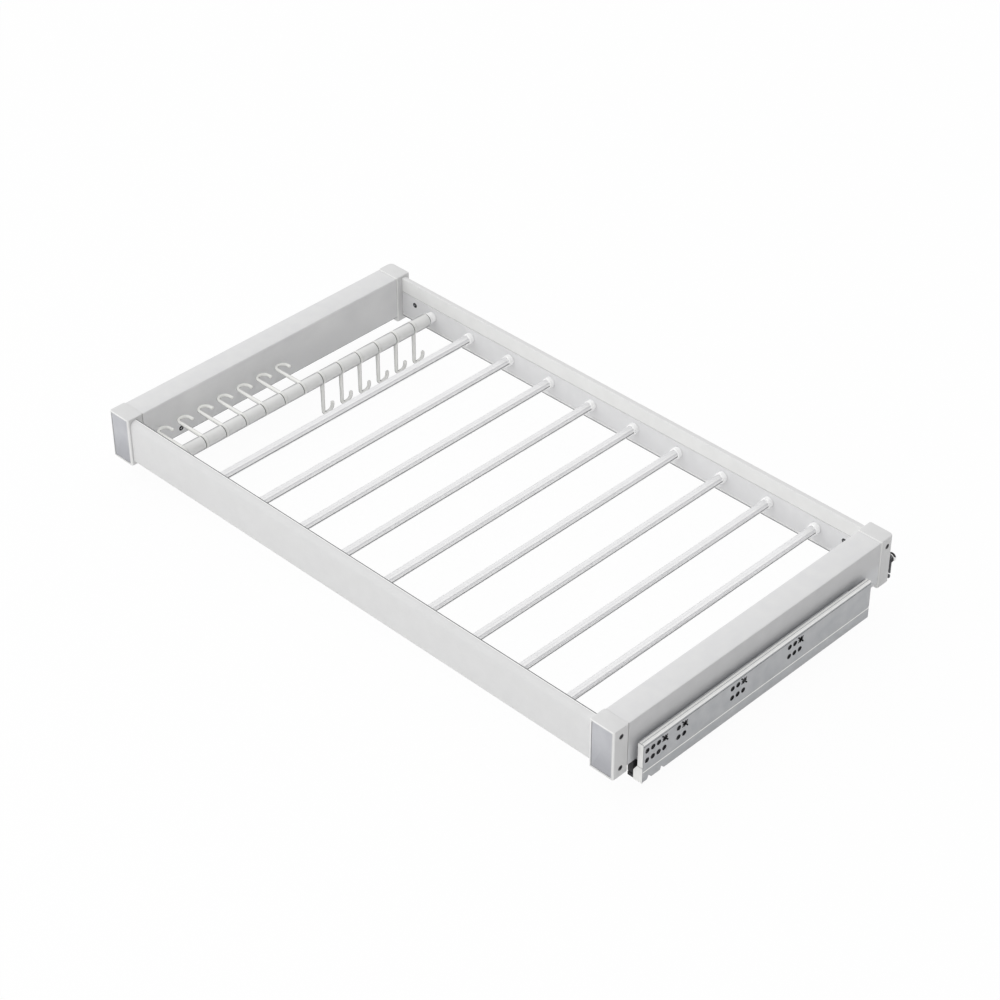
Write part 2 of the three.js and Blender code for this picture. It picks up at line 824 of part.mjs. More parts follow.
// The rack: the frame with its blocks, plates, beams, rails and bars.
function rackFrame() {
  const group = new THREE.Group();
  for (const side of [-1, 1]) {
    for (const end of [-1, 1]) {
      const name = `corner_block_${endName(end)}_${sideName(side)}`;
      group.add(piece(name, cornerBlock(side, end), blockFinish, side * blockCentreX, end * blockCentreY));
    }
    const plateName = `front_plate_${sideName(side)}`;
    group.add(piece(plateName, frontPlate(), plateFinish, side * blockCentreX, -blockCentreY));
    group.add(piece(`side_beam_${sideName(side)}`, sideBeam(), beamFinish, side * blockCentreX));
    const rearX = side * (halfWidth - rearPlateInset - rearPlateWidth / 2);
    group.add(piece(`rear_bracket_${sideName(side)}`, rearBracket(), blackFinish, rearX, halfDepth + touchGap));
  }
  for (const end of [-1, 1]) {
    group.add(piece(`${endName(end)}_rail`, rail(end), beamFinish));
  }
  const bar = trouserBar();
  barPlaces().forEach((x, i) => {
    group.add(piece(`trouser_bar_${i + 1}`, bar, barFinish, x, 0, barAxisHeight));
  });
  return group;
}

// The hook tube with its sleeves and hooks, about the tube's axis.
function hookRow() {
  const group = new THREE.Group();
  group.position.set(tubeFromSide - halfWidth, 0, barAxisHeight);
  group.add(piece('hook_tube', hookTube(), tubeFinish));
  const hook = ringHook();
  const places = hookPlaces();
  places.forEach((y, i) => {
    const mesh = piece(`ring_hook_${twoDigits(i + 1)}`, hook, hookFinish, 0, y, 0);
    mesh.rotation.y = i < hooksRaised ? THREE.MathUtils.degToRad(hookRaisedAngle) : 0;
    group.add(mesh);
  });
  const sleeve = ring(sleeveRadius, sleeveLength);
  places.forEach((y, i) => {
    const middle = y + hookWidth / 2 + touchGap + sleeveLength / 2;
    group.add(piece(`spacer_sleeve_${twoDigits(i + 1)}`, sleeve, sleeveFinish, 0, middle, 0));
  });
  return group;
}

// One slide with its three members, two ball cages and catch.
function slide(side) {
  const group = new THREE.Group();
  const name = sideName(side);
  group.add(piece(`slide_cabinet_member_${name}`, cabinetMember(side), zincFinish));
  group.add(piece(`slide_middle_member_${name}`, middleMember(side), zincFinish));
  group.add(piece(`slide_frame_member_${name}`, frameMember(side), zincFinish));
  const outerFlange = slideFlange - sheet - touchGap;
  const outer = ballCage(side, outerCageWeb, outerFlange, cabinetTop, cabinetBottom);
  group.add(piece(`ball_cage_outer_${name}`, outer, cageFinish));
  const innerFlange = middleLipEnd - sheet - touchGap;
  const innerTop = middleTop - sheet;
  const innerBottom = middleBottom + sheet;
  const inner = ballCage(side, innerCageWeb, innerFlange, innerTop, innerBottom);
  group.add(piece(`ball_cage_inner_${name}`, inner, cageFinish));
  const catchX = side * (slideFace - slideFoot - slideGap - catchWidth / 2);
  group.add(piece(`front_catch_${name}`, frontCatch(), blackFinish, catchX, slideFront));
  return group;
}

const group = new THREE.Group();
group.add(rackFrame());
group.add(hookRow());
group.add(slide(-1));
group.add(slide(1));

export default group;
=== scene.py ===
"""Pull out trouser rack for a wardrobe, dressed for rendering.

Sizes are in millimetres and angles in degrees, unless a docstring says otherwise. The frame
is the CAD model's: X runs to the right, Y to the back and Z up, and the rack pulls out
towards -Y. Meshes are scaled to metres as they are made.
"""

import logging
import math
from dataclasses import dataclass
from enum import Enum
from typing import Callable, Iterable, Optional, Sequence, Union

import bmesh
import bpy
from mathutils import Matrix, Vector


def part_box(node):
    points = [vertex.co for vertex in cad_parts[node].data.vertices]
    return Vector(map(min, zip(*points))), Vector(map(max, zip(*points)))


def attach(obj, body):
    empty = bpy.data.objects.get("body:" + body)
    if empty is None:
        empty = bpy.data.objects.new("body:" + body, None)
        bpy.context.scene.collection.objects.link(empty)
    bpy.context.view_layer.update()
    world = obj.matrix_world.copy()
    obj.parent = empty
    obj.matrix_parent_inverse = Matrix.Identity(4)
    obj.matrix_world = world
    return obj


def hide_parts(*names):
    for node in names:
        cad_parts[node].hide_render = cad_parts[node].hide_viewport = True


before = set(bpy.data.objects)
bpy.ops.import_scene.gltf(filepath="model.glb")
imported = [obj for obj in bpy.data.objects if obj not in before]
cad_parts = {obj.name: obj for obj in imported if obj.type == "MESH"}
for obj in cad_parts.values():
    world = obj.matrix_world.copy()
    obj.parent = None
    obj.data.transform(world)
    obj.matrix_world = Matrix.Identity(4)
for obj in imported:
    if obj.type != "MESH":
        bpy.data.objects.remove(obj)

log = logging.getLogger("trouser_rack")

MM = 0.001
MICRON = 0.000001
SAME_PLACE = 0.0005
SIDES = {"left": -1, "right": 1}
ENDS = {"front": -1, "back": 1}

Point = Sequence[float]
Span = tuple[float, float]
Outline = list[Span]
Colour = Union[int, tuple[int, int, int]]
Edge = bmesh.types.BMEdge
Face = bmesh.types.BMFace
Socket = bpy.types.NodeSocket
Inputs = dict[Union[str, int], object]


class Axis(Enum):
    """The direction that a prism or a turned shape runs in."""

    X = 0
    Y = 1
    Z = 2

    @property
    def direction(self) -> Vector:
        """The unit vector along this axis."""
        return Vector([1.0 if i == self.value else 0.0 for i in range(3)])

    def place(self, across: float, up: float, along: float) -> Vector:
        """Put a point of a section, given on the two other axes, in space."""
        section = (across, up)
        return Vector((*section[:self.value], along, *section[self.value:]))


def arc(centre: Point, radius: float, start: float, end: float, steps: int) -> Outline:
    """List points along an arc.

    Args:
        centre: The arc's centre in the section.
        radius: The arc's radius.
        start: The first angle in degrees.
        end: The last angle in degrees.
        steps: The number of straight steps between them.

    Returns:
        The points, first and last included.
    """
    angles = [math.radians(start + (end - start) * step / steps) for step in range(steps + 1)]
    return [(centre[0] + radius * math.cos(angle), centre[1] + radius * math.sin(angle))
            for angle in angles]


def eased(radius: float, place: float, edge: float, way: int = 1) -> Outline:
    """List a rounded edge of a turned shape, from its end face out to its radius.

    Args:
        radius: The shape's radius.
        place: Where its end face lies along its axis.
        edge: How wide the rounding is.
        way: 1 if the shape goes on up the axis from there, or -1.

    Returns:
        The three points of the edge.
    """
    shares = ((1, 0), (0.3, 0.3), (0, 1))
    return [(radius - edge * inward, place + way * edge * along) for inward, along in shares]


def runs_along(axis: Axis, length: float) -> Callable[[Edge], bool]:
    """Return the test that an edge runs further than a length along an axis."""
    return lambda edge: abs(edge.verts[0].co[axis.value] - edge.verts[1].co[axis.value]) > length


def centre_of(face: Face) -> Vector:
    """Return the middle of a face."""
    return face.calc_center_median()


def picked(made: dict[str, list], kind: type) -> list:
    """Pick the parts of one kind from what a bmesh operator made."""
    return [part for part in made["geom"] if isinstance(part, kind)]


def stood(name: str, data: bpy.types.ID) -> bpy.types.Object:
    """Stand a new object in the scene.

    Args:
        name: The object's name.
        data: Its mesh, light or camera.

    Returns:
        The object.
    """
    made = bpy.data.objects.new(name, data)
    bpy.context.scene.collection.objects.link(made)
    return made


class Mould:
    """A mesh in the making, in millimetres, shaped by bmesh operators."""

    def __init__(self) -> None:
        """Start with an empty mesh."""
        self.mesh = bmesh.new()

    def _copied(self, name: str) -> bpy.types.Mesh:
        """Copy the mesh into Blender's data.

        Args:
            name: The copy's name.

        Returns:
            The copy.
        """
        copy = bpy.data.meshes.new(name)
        self.mesh.to_mesh(copy)
        return copy

    def _line(self, points: Iterable[Point], closed: bool = False) -> list[Edge]:
        """Draw a line of edges.

        Args:
            points: The line's points.
            closed: Whether it goes back to the first point.

        Returns:
            The new edges.
        """
        verts = [self.mesh.verts.new(point) for point in points]
        following = verts[1:] + (verts[:1] if closed else [])
        return [self.mesh.edges.new(pair) for pair in zip(verts, following)]

    def _rounded(self, edges: list[Edge], width: float, segments: int) -> None:
        """Round some edges from a width to both sides of each."""
        bmesh.ops.bevel(self.mesh, geom=edges, offset=width, offset_type="OFFSET",
                        segments=segments, profile=0.5, affect="EDGES", clamp_overlap=True,
                        material=-1)

    def _faced_out(self) -> None:
        """Make all faces look outwards."""
        bmesh.ops.recalc_face_normals(self.mesh, faces=self.mesh.faces[:])

    def block(self, low: Point, high: Point) -> "Mould":
        """Add a box.

        Args:
            low: The box's lowest corner.
            high: The box's highest corner.

        Returns:
            This mould.
        """
        size, middle = Vector(high) - Vector(low), (Vector(high) + Vector(low)) / 2
        bmesh.ops.create_cube(self.mesh, size=1.0, matrix=Matrix.Translation(middle)
                              @ Matrix.Diagonal((*size, 1.0)))
        return self

    def prism(self, outline: Outline, axis: Axis, start: float, end: float) -> "Mould":
        """Draw a closed outline along an axis.

        Args:
            outline: The section's points.
            axis: The direction of the draw.
            start: Where the prism starts along the axis.
            end: Where it ends.

        Returns:
            This mould.
        """
        corners = [self.mesh.verts.new(axis.place(x, y, start)) for x, y in outline]
        made = bmesh.ops.extrude_face_region(self.mesh, geom=[self.mesh.faces.new(corners)])
        bmesh.ops.translate(self.mesh, verts=picked(made, bmesh.types.BMVert),
                            vec=axis.direction * (end - start))
        return self

    def turned(self, profile: Outline, axis: Axis, centre: Point, steps: int,
               ring: bool = False) -> "Mould":
        """Turn a profile right round an axis.

        Args:
            profile: Pairs of radius and place along the axis.
            axis: The axis of the turn.
            centre: A point on that axis, which the places are measured from.
            steps: The number of steps in the turn.
            ring: Whether the profile closes on itself, as a ring's does.

        Returns:
            This mould.
        """
        middle = Vector(centre)
        outward = Axis((axis.value + 1) % 3).direction
        turning = Mould()
        edges = turning._line((middle + outward * r + axis.direction * a for r, a in profile), ring)
        bmesh.ops.spin(turning.mesh, geom=turning.mesh.verts[:] + edges, cent=middle,
                       axis=axis.direction, angle=2 * math.pi, steps=steps, use_merge=True,
                       use_duplicate=False)
        bmesh.ops.remove_doubles(turning.mesh, verts=turning.mesh.verts[:], dist=SAME_PLACE)
        return self.join(turning)

    def rod(self, radius: float, ends: Span, axis: Axis, centre: Point, steps: int) -> "Mould":
        """Add a round rod, whose ends are places along an axis through a centre."""
        start, end = ends
        return self.turned([(0, start), (radius, start), (radius, end), (0, end)],
                           axis, centre, steps)

    def balls(self, centres: Iterable[Point], radius: float) -> "Mould":
        """Add small round balls.

        Args:
            centres: The balls' centres.
            radius: Their radius.

        Returns:
            This mould.
        """
        for centre in centres:
            bmesh.ops.create_icosphere(self.mesh, subdivisions=2, radius=radius,
                                       matrix=Matrix.Translation(Vector(centre)))
        return self

    def folded(self, corners: Outline, ends: Span, sheet: float, bend: float) -> "Mould":
        """Fold a strip of sheet that runs along Y.

        Args:
            corners: The strip's middle line, as points of X and Z.
            ends: Where the strip starts and ends along Y.
            sheet: The sheet's thickness.
            bend: How far from a corner its bend starts.

        Returns:
            This mould.
        """
        strip = Mould()
        edges = strip._line((x, ends[0], z) for x, z in corners)
        made = bmesh.ops.extrude_edge_only(strip.mesh, edges=edges)
        bmesh.ops.translate(strip.mesh, verts=picked(made, bmesh.types.BMVert),
                            vec=(0, ends[1] - ends[0], 0))
        strip._rounded([edge for edge in strip.mesh.edges if len(edge.link_faces) == 2], bend, 4)
        strip.modified("SOLIDIFY", thickness=sheet, offset=0.0, use_even_offset=True)
        return self.join(strip)

    def join(self, *others: "Mould") -> "Mould":
        """Take in other moulds' meshes, which are used up.

        Args:
            others: The moulds to take in.

        Returns:
            This mould.
        """
        for other in others:
            carrier = other._copied("carrier")
            other.mesh.free()
            self.mesh.from_mesh(carrier)
            bpy.data.meshes.remove(carrier)
        return self

    def moved(self, vec: Point) -> "Mould":
        """Shift the whole mesh."""
        bmesh.ops.translate(self.mesh, verts=self.mesh.verts[:], vec=Vector(vec))
        return self

    def rotated(self, degrees: float, axis: Axis) -> "Mould":
        """Turn the whole mesh about an axis through the origin."""
        bmesh.ops.rotate(self.mesh, verts=self.mesh.verts[:], cent=Vector(),
                         matrix=Matrix.Rotation(math.radians(degrees), 3, axis.direction))
        return self

    def bevelled(self, width: float, segments: int = 2, sharper: float = 30.0,
                 where: Optional[Callable[[Edge], bool]] = None) -> "Mould":
        """Round the sharp edges.

        Args:
            width: How far from the edge the rounding starts.
            segments: The number of steps in the rounding.
            sharper: Only edges that turn by more than this many degrees are rounded.
            where: A further test that an edge has to pass.

        Returns:
            This mould.
        """
        self._faced_out()
        edges = [
            edge for edge in self.mesh.edges
            if len(edge.link_faces) == 2 and edge.calc_face_angle(0.0) > math.radians(sharper)
            and (where is None or where(edge))
        ]
        self._rounded(edges, width, segments)
        return self

    def modified(self, kind: str, **settings: object) -> "Mould":
        """Shape the mesh with one of Blender's modifiers and keep the result.

        Args:
            kind: The modifier's type.
            settings: The modifier's settings.

        Returns:
            This mould.
        """
        self._faced_out()
        before = self._copied("before")
        carrier = stood("carrier", before)
        change = carrier.modifiers.new("change", kind)
        for setting, value in settings.items():
            setattr(change, setting, value)
        shaped = carrier.evaluated_get(bpy.context.evaluated_depsgraph_get())
        self.mesh.clear()
        self.mesh.from_mesh(shaped.to_mesh())
        shaped.to_mesh_clear()
        bpy.data.objects.remove(carrier)
        bpy.data.meshes.remove(before)
        return self

    def combined(self, tool: "Mould", operation: str = "DIFFERENCE") -> "Mould":
        """Cut another mould's solids out of this one, or unite the two.

        Args:
            tool: The other mould, which is used up.
            operation: DIFFERENCE or UNION.

        Returns:
            This mould.
        """
        tool._faced_out()
        shape = tool._copied("tool")
        tool.mesh.free()
        cutter = stood("tool", shape)
        self.modified("BOOLEAN", operation=operation, solver="EXACT", object=cutter)
        bpy.data.objects.remove(cutter)
        bpy.data.meshes.remove(shape)
        return self

    def painted(self, coat: int, where: Callable[[Face], bool]) -> "Mould":
        """Give some faces another of the piece's finishes.

        Args:
            coat: The finish's place in the piece's list of finishes.
            where: The test that a face has to pass.

        Returns:
            This mould.
        """
        self._faced_out()
        for face in self.mesh.faces:
            if where(face):
                face.material_index = coat
        return self

    def lowest_face(self) -> Face:
        """Find the face that lies lowest."""
        return min(self.mesh.faces, key=lambda face: centre_of(face).z)

    def drawn_on(self, face: Face, change: Matrix, shrink: float = 1.0) -> Face:
        """Extrude a face and move the new end.

        Args:
            face: The face to extrude.
            change: The move or turn that takes the old end to the new one.
            shrink: How much narrower the new end is than the old one.

        Returns:
            The face at the new end.
        """
        made = bmesh.ops.extrude_face_region(self.mesh, geom=[face])
        verts = picked(made, bmesh.types.BMVert)
        end = picked(made, Face)[0]
        bmesh.ops.transform(self.mesh, matrix=change, verts=verts)
        bmesh.ops.scale(self.mesh, vec=(shrink, shrink, shrink), verts=verts,
                        space=Matrix.Translation(-centre_of(end)))
        return end

    def object(self, name: str, smoother: float = 32.0) -> bpy.types.Object:
        """Finish the mesh as an object of the scene, in metres.

        Args:
            name: The piece's name.
            smoother: Edges that turn by less than this many degrees are shaded smooth.

        Returns:
            The new object, at the origin.
        """
        self._faced_out()
        bmesh.ops.scale(self.mesh, vec=(MM, MM, MM), verts=self.mesh.verts[:])
        for face in self.mesh.faces:
            face.smooth = True
        for edge in self.mesh.edges:
            edge.smooth = edge.calc_face_angle(math.pi) < math.radians(smoother)
        shape = self._copied(name)
        self.mesh.free()
        return stood(name, shape)


class NodeSheet:
    """A node tree with short ways to add its nodes and join them."""

    def __init__(self, tree: bpy.types.NodeTree) -> None:
        """Take the tree that the nodes go into."""
        self.tree = tree

    def feed(self, node: bpy.types.Node, inputs: Inputs) -> None:
        """Give a node's inputs their values.

        Args:
            node: The node.
            inputs: The value of each input, a plain one or a socket to link.
        """
        for name, value in inputs.items():
            if isinstance(value, Socket):
                self.tree.links.new(value, node.inputs[name])
            else:
                node.inputs[name].default_value = value

    def add(self, kind: str, inputs: Optional[Inputs] = None,
            **settings: object) -> bpy.types.Node:
        """Add a node.

        Args:
            kind: The node's type.
            inputs: What its inputs are given.
            settings: Its settings.

        Returns:
            The node.
        """
        node = self.tree.nodes.new(kind)
        for setting, value in settings.items():
            setattr(node, setting, value)
        self.feed(node, inputs or {})
        return node

    def math(self, operation: str, *values: object) -> Socket:
        """Add a sum of values, each a number or a socket, and return its result."""
        return self.add("ShaderNodeMath", dict(enumerate(values)), operation=operation).outputs[0]

    def noise(self, place: Socket, scale: Socket, detail: float, rough: float = 0.5) -> Socket:
        """Add a noise and return its level."""
        return self.add("ShaderNodeTexNoise", {"Vector": place, "Scale": scale, "Detail": detail,
                                               "Roughness": rough}).outputs["Fac"]

    def spread(self, value: Socket, limits: Sequence[object], ends: Sequence[object] = (0.0, 1.0),
               kind: str = "LINEAR") -> Socket:
        """Stretch a value.

        Args:
            value: The value.
            limits: The two values between which it moves.
            ends: The two values between which the result moves.
            kind: The kind of interpolation.

        Returns:
            The result's socket.
        """
        return self.add("ShaderNodeMapRange", {
            "Value": value, "From Min": limits[0], "From Max": limits[1], "To Min": ends[0],
            "To Max": ends[1]}, interpolation_type=kind).outputs["Result"]

    def blend(self, share: Socket, first: object, second: object) -> Socket:
        """Mix two colours and return the result."""
        return self.add("ShaderNodeMix", {"Factor": share, "A": first, "B": second},
                        data_type="RGBA").outputs["Result"]

    def effect(self, effect: "Effect", place: Socket, **inputs: object) -> Socket:
        """Place a shared effect in a material and return its result."""
        return self.add("ShaderNodeGroup", {"Vector": place, **inputs},
                        node_tree=effect.group()).outputs[0]


class Effect(Enum):
    """The shared surface effects, each one node group with its inputs and its output.

    CLOUD: Two tints that drift into each other, as on cast or plated metal.
    GRAIN: A fine even grain, as paint or a moulded skin has.
    LINES: Fine lines along one direction, as drawing or brushing leaves.
    PATCHES: Roughness that wanders between two values, as handling leaves.
    FADE: A second tint that takes over towards the foot of a wall, painted light and shade that
    stand in for a satin reflection.
    """

    CLOUD = ("cloud_tint", ("Vector", "Tint", "Shade", "Scale"), "Colour")
    GRAIN = ("fine_grain", ("Vector", "Scale"), "Height")
    LINES = ("drawn_lines", ("Vector", "Stretch", "Scale"), "Lines")
    PATCHES = ("gloss_patches", ("Vector", "Scale", "Gloss", "Matt"), "Roughness")
    FADE = ("height_fade", ("Vector", "Tint", "Foot", "Low", "High"), "Colour")

    def group(self) -> bpy.types.NodeTree:
        """Find the effect's node group, built the first time it is asked for.

        Returns:
            The group.
        """
        name, inputs, output = self.value
        made = bpy.data.node_groups.get(name)
        if made:
            return made
        tree = bpy.data.node_groups.new(name, "ShaderNodeTree")
        for way, socket in [("INPUT", socket) for socket in inputs] + [("OUTPUT", output)]:
            kind = ("Vector" if socket in ("Vector", "Stretch") else
                    "Color" if socket in ("Tint", "Shade", "Foot", "Colour") else "Float")
            tree.interface.new_socket(socket, in_out=way, socket_type=f"NodeSocket{kind}")
        sheet = NodeSheet(tree)
        given = sheet.add("NodeGroupInput").outputs
        sheet.add("NodeGroupOutput", {output: self._result(sheet, given)})
        return tree

    def _result(self, sheet: NodeSheet, given: bpy.types.NodeOutputs) -> Socket:
        """Build the effect's own nodes.

        Args:
            sheet: The group's sheet.
            given: The group's inputs.

        Returns:
            The socket with the effect's result.
        """
        place = given["Vector"]
        if self is Effect.FADE:
            height = sheet.add("ShaderNodeSeparateXYZ", {"Vector": place}).outputs["Z"]
            share = sheet.spread(height, (given["Low"], given["High"]), kind="SMOOTHSTEP")
            return sheet.blend(share, given["Foot"], given["Tint"])
        if self is Effect.LINES:
            place = sheet.add("ShaderNodeVectorMath", {0: place, 1: given["Stretch"]},
                              operation="MULTIPLY").outputs["Vector"]
            return sheet.noise(place, given["Scale"], 5.0, 0.65)
        if self is Effect.GRAIN:
            return sheet.noise(place, given["Scale"], 4.0, 0.6)
        if self is Effect.PATCHES:
            return sheet.spread(sheet.noise(place, given["Scale"], 2.0), (0.25, 0.75),
                                (given["Gloss"], given["Matt"]))
        share = sheet.spread(sheet.noise(place, given["Scale"], 3.0), (0.3, 0.7))
        return sheet.blend(share, given["Tint"], given["Shade"])


PATCH_SCALE = 1.7
LINE_STRETCH = 0.012
LINE_STREAK = (0.16, -0.08)
SILHOUETTE_SHADE_FACING = (0.35, 0.8)
BUMP_STRENGTH = 0.6


def tint(colour: Colour) -> tuple[float, ...]:
    """Turn a colour as it shows on a screen into the renderer's linear values.

    Args:
        colour: Red, green and blue from 0 to 255, or one level for a neutral grey.

    Returns:
        The linear colour with an alpha of 1.
    """
    levels = (colour,) * 3 if isinstance(colour, int) else colour
    shares = [level / 255 for level in levels]
    return (*(share / 12.92 if share <= 0.04045 else ((share + 0.055) / 1.055) ** 2.4
              for share in shares), 1.0)


@dataclass(frozen=True)
class Finish:
    """A surface finish, and the material that it becomes.

    Attributes:
        name: The material's name.
        light: The lighter of its two tints.
        shade: The darker one.
        gloss: Its roughness where it is smoothest.
        matt: Its roughness where it is dullest.
        metallic: How far it is a metal.
        cloud_scale: The scale at which the tints drift.
        grain: The scale and the depth, in microns, of an even grain.
        drawn: The axis, scale and depth of fine lines, which take the grain's place.
        coat: The weight of a clear coat.
        foot: A tint painted at the foot of a wall, lighter or darker, as painted light and shade.
        fade_heights: The heights in metres between which that tint fades.
        outline: A painted shade where the surface turns away from the eye.
        glow: How much light it gives off, a painted glow, as it is no lamp.
    """

    name: str
    light: Colour
    shade: Colour
    gloss: float
    matt: float
    metallic: float = 0.0
    cloud_scale: float = 60.0
    grain: Span = (1500, 10)
    drawn: Optional[tuple[Axis, float, float]] = None
    coat: float = 0.0
    foot: Optional[Colour] = None
    fade_heights: Span = (0.0, 0.07)
    outline: Optional[Colour] = None
    glow: float = 0.0

    def material(self) -> bpy.types.Material:
        """Find the finish's material, built the first time it is asked for.

        Returns:
            The material.
        """
        made = bpy.data.materials.get(self.name)
        if made:
            return made
        made = bpy.data.materials.new(self.name)
        made.use_nodes = True
        sheet = NodeSheet(made.node_tree)
        place = sheet.add("ShaderNodeTexCoord").outputs["Object"]

        colour = sheet.effect(Effect.CLOUD, place, Tint=tint(self.light), Shade=tint(self.shade),
                              Scale=self.cloud_scale)
        # A tint painted towards the foot, as painted light and shade.
        if self.foot is not None:
            low, high = self.fade_heights
            colour = sheet.effect(Effect.FADE, place, Tint=colour, Foot=tint(self.foot), Low=low,
                                  High=high)
        # Painted shade where the surface turns away from the eye.
        if self.outline is not None:
            facing = sheet.add("ShaderNodeLayerWeight").outputs["Facing"]
            share = sheet.spread(facing, SILHOUETTE_SHADE_FACING, kind="SMOOTHSTEP")
            colour = sheet.blend(share, colour, tint(self.outline))

        rough = sheet.effect(Effect.PATCHES, place, Scale=self.cloud_scale * PATCH_SCALE,
                             Gloss=self.gloss, Matt=self.matt)
        if self.drawn is None:
            scale, depth = self.grain
            height = sheet.effect(Effect.GRAIN, place, Scale=scale)
        else:
            axis, scale, depth = self.drawn
            stretch = [1.0, 1.0, 1.0]
            stretch[axis.value] = LINE_STRETCH
            height = sheet.effect(Effect.LINES, place, Stretch=stretch, Scale=scale)
            rough = sheet.math("ADD", rough, sheet.math("MULTIPLY_ADD", height, *LINE_STREAK))
        bump = sheet.add("ShaderNodeBump", {
            "Strength": BUMP_STRENGTH, "Distance": depth * MICRON, "Height": height})
        sheet.feed(made.node_tree.nodes["Principled BSDF"], {
            "Base Color": colour, "Metallic": self.metallic, "Roughness": rough,
            "Coat Weight": self.coat, "Emission Color": tint(self.light),
            "Emission Strength": self.glow, "Normal": bump.outputs["Normal"],
        })
        return made


BEAM_LINES = (Axis.Y, 1600, 3)
RAIL_LINES = (Axis.X, 1600, 3)
PLASTIC_GRAIN = (2400, 4)
NO_GRAIN = (1500, 0)

CAST_GREY = Finish("cast_grey_paint", 224, 220, 0.5, 0.6, grain=(2200, 8))
# Painted highlight: a near-white copy of the cast grey for edges and strips where light catches.
CAST_PAINTED_HIGHLIGHT = Finish("cast_grey_painted_highlight", (247, 247, 246), (243, 243, 242), 0.4, 0.5,
                   grain=(2200, 6))
DRAWN_ALONG_Y = Finish("drawn_aluminium_beam", 227, (223, 223, 224), 0.5, 0.6, 0.05,
                       drawn=BEAM_LINES)
# Painted light and shade: copies of the beam's finish, the outer side darker than the top and the
# inner side lighter, each with another tint painted towards its foot.
BEAM_SIDE_PAINTED_LIGHT_AND_SHADE = Finish("drawn_aluminium_beam_side_painted_light_and_shade", (213, 213, 214), (209, 209, 210), 0.4, 0.5, 0.1,
                   drawn=BEAM_LINES, foot=(222, 223, 225), fade_heights=(0.026, 0.046))
BEAM_INSIDE_PAINTED_LIGHT_AND_SHADE = Finish("drawn_aluminium_beam_inside_painted_light_and_shade", 242, (231, 231, 232), 0.4, 0.5, 0.1, 18,
                     drawn=BEAM_LINES, foot=(226, 226, 227), fade_heights=(0.008, 0.05))
DRAWN_ALONG_X = Finish("drawn_aluminium_rail", 225, 222, 0.5, 0.6, drawn=RAIL_LINES)
# Painted light and shade: lighter copies of the rail's finish for its inner face, the lower part
# fading darker towards the foot.
RAIL_INSIDE_PAINTED_LIGHT_AND_SHADE = Finish("drawn_aluminium_rail_inside_painted_light_and_shade", (234, 234, 235), (228, 228, 229), 0.5, 0.6,
                     drawn=RAIL_LINES, foot=(226, 226, 227), fade_heights=(0.006, 0.044))
RAIL_UPPER_PAINTED_LIGHT = Finish("drawn_aluminium_rail_upper_painted_light", (242, 242, 241), (238, 238, 237), 0.5, 0.6,
                    drawn=RAIL_LINES)
EDGE_SHADE = Finish("drawn_aluminium_lower_edge", (118, 118, 120), (110, 110, 112), 0.5, 0.6)
# Painted shade in the rails' upper groove.
RAIL_GROOVE_SHADE = Finish("drawn_aluminium_groove_painted_shade", (140, 140, 142), (132, 132, 134), 0.5, 0.6)
# Painted shade: the front plate's tint fades darker towards its foot.
BRUSHED_PLATE_SHADED_FOOT = Finish("brushed_plate", (200, 201, 205), (192, 193, 198), 0.34, 0.46, 0.5,
                       drawn=(Axis.Z, 2200, 6), foot=(178, 179, 184), fade_heights=(0.002, 0.05))
# Painted shade on the front plate's edges, for the dark gap round it.
PLATE_EDGE_SHADE = Finish("brushed_plate_edge_painted_shade", (84, 84, 86), (78, 78, 80), 0.4, 0.5)
SATIN_BAR = Finish("satin_bar", 254, 252, 0.3, 0.36, 0.4, grain=NO_GRAIN)
BAR_STRIP = Finish("bar_strip", (241, 241, 242), (238, 238, 239), 0.32, 0.4, 0.3, grain=NO_GRAIN)
# Painted shade in the sunk bands at each side of a bar, light in the channels and dark in the
# slots.
BAR_CHANNEL_SHADE = Finish("bar_channel_painted_shade", (236, 236, 238), (232, 232, 234), 0.35, 0.45, 0.2,
                     grain=NO_GRAIN)
BAR_SLOT_SHADE = Finish("bar_slot_painted_shade", (170, 170, 172), (162, 162, 164), 0.4, 0.5,
                  drawn=(Axis.Y, 2400, 1))
# Painted highlight on a sleeve's back rim.
SLEEVE_RIM_HIGHLIGHT = Finish("sleeve_rim_painted_highlight", (248, 248, 247), (244, 244, 243), 0.35, 0.45, grain=(2400, 2))
# Painted light: white plastic that glows a little, though it is no lamp.
WHITE_CAP_GLOW = Finish("white_cap_plastic_painted_glow", 254, 252, 0.18, 0.26, 0.1, grain=(2600, 2), coat=0.6,
                   glow=0.07)
SATIN_TUBE = Finish("satin_tube", (206, 206, 208), (196, 196, 198), 0.28, 0.38, 0.8,
                    drawn=(Axis.Y, 2000, 4))
# Painted shade: the outline tints of sleeves and hooks darken their silhouettes.
SLEEVE = Finish("sleeve_plastic", (236, 236, 235), (232, 232, 231), 0.42, 0.52,
                grain=PLASTIC_GRAIN, outline=(158, 158, 160))
HOOK = Finish("hook_plastic", (248, 248, 245), (244, 244, 241), 0.4, 0.5, grain=PLASTIC_GRAIN,
              outline=(84, 84, 83))
# Painted light: a lighter copy of the hook plastic, with a lighter silhouette shade, for the raised
# hooks.
HOOK_RAISED_LIT = Finish("off_white_plastic_raised_painted_light", (254, 254, 250), (249, 249, 246), 0.4, 0.5,
                     grain=PLASTIC_GRAIN, outline=(176, 176, 174))
# Painted shade: a darker copy of the hook plastic for the ring among the sleeves.
HOOK_RING_SHADE = Finish("hook_ring_plastic_painted_shade", (238, 238, 236), (234, 234, 232), 0.4, 0.5,
                   grain=PLASTIC_GRAIN)
ZINC = Finish("zinc_plate", (202, 203, 205), (190, 192, 195), 0.36, 0.5, 0.3,
              drawn=(Axis.Y, 1300, 4))
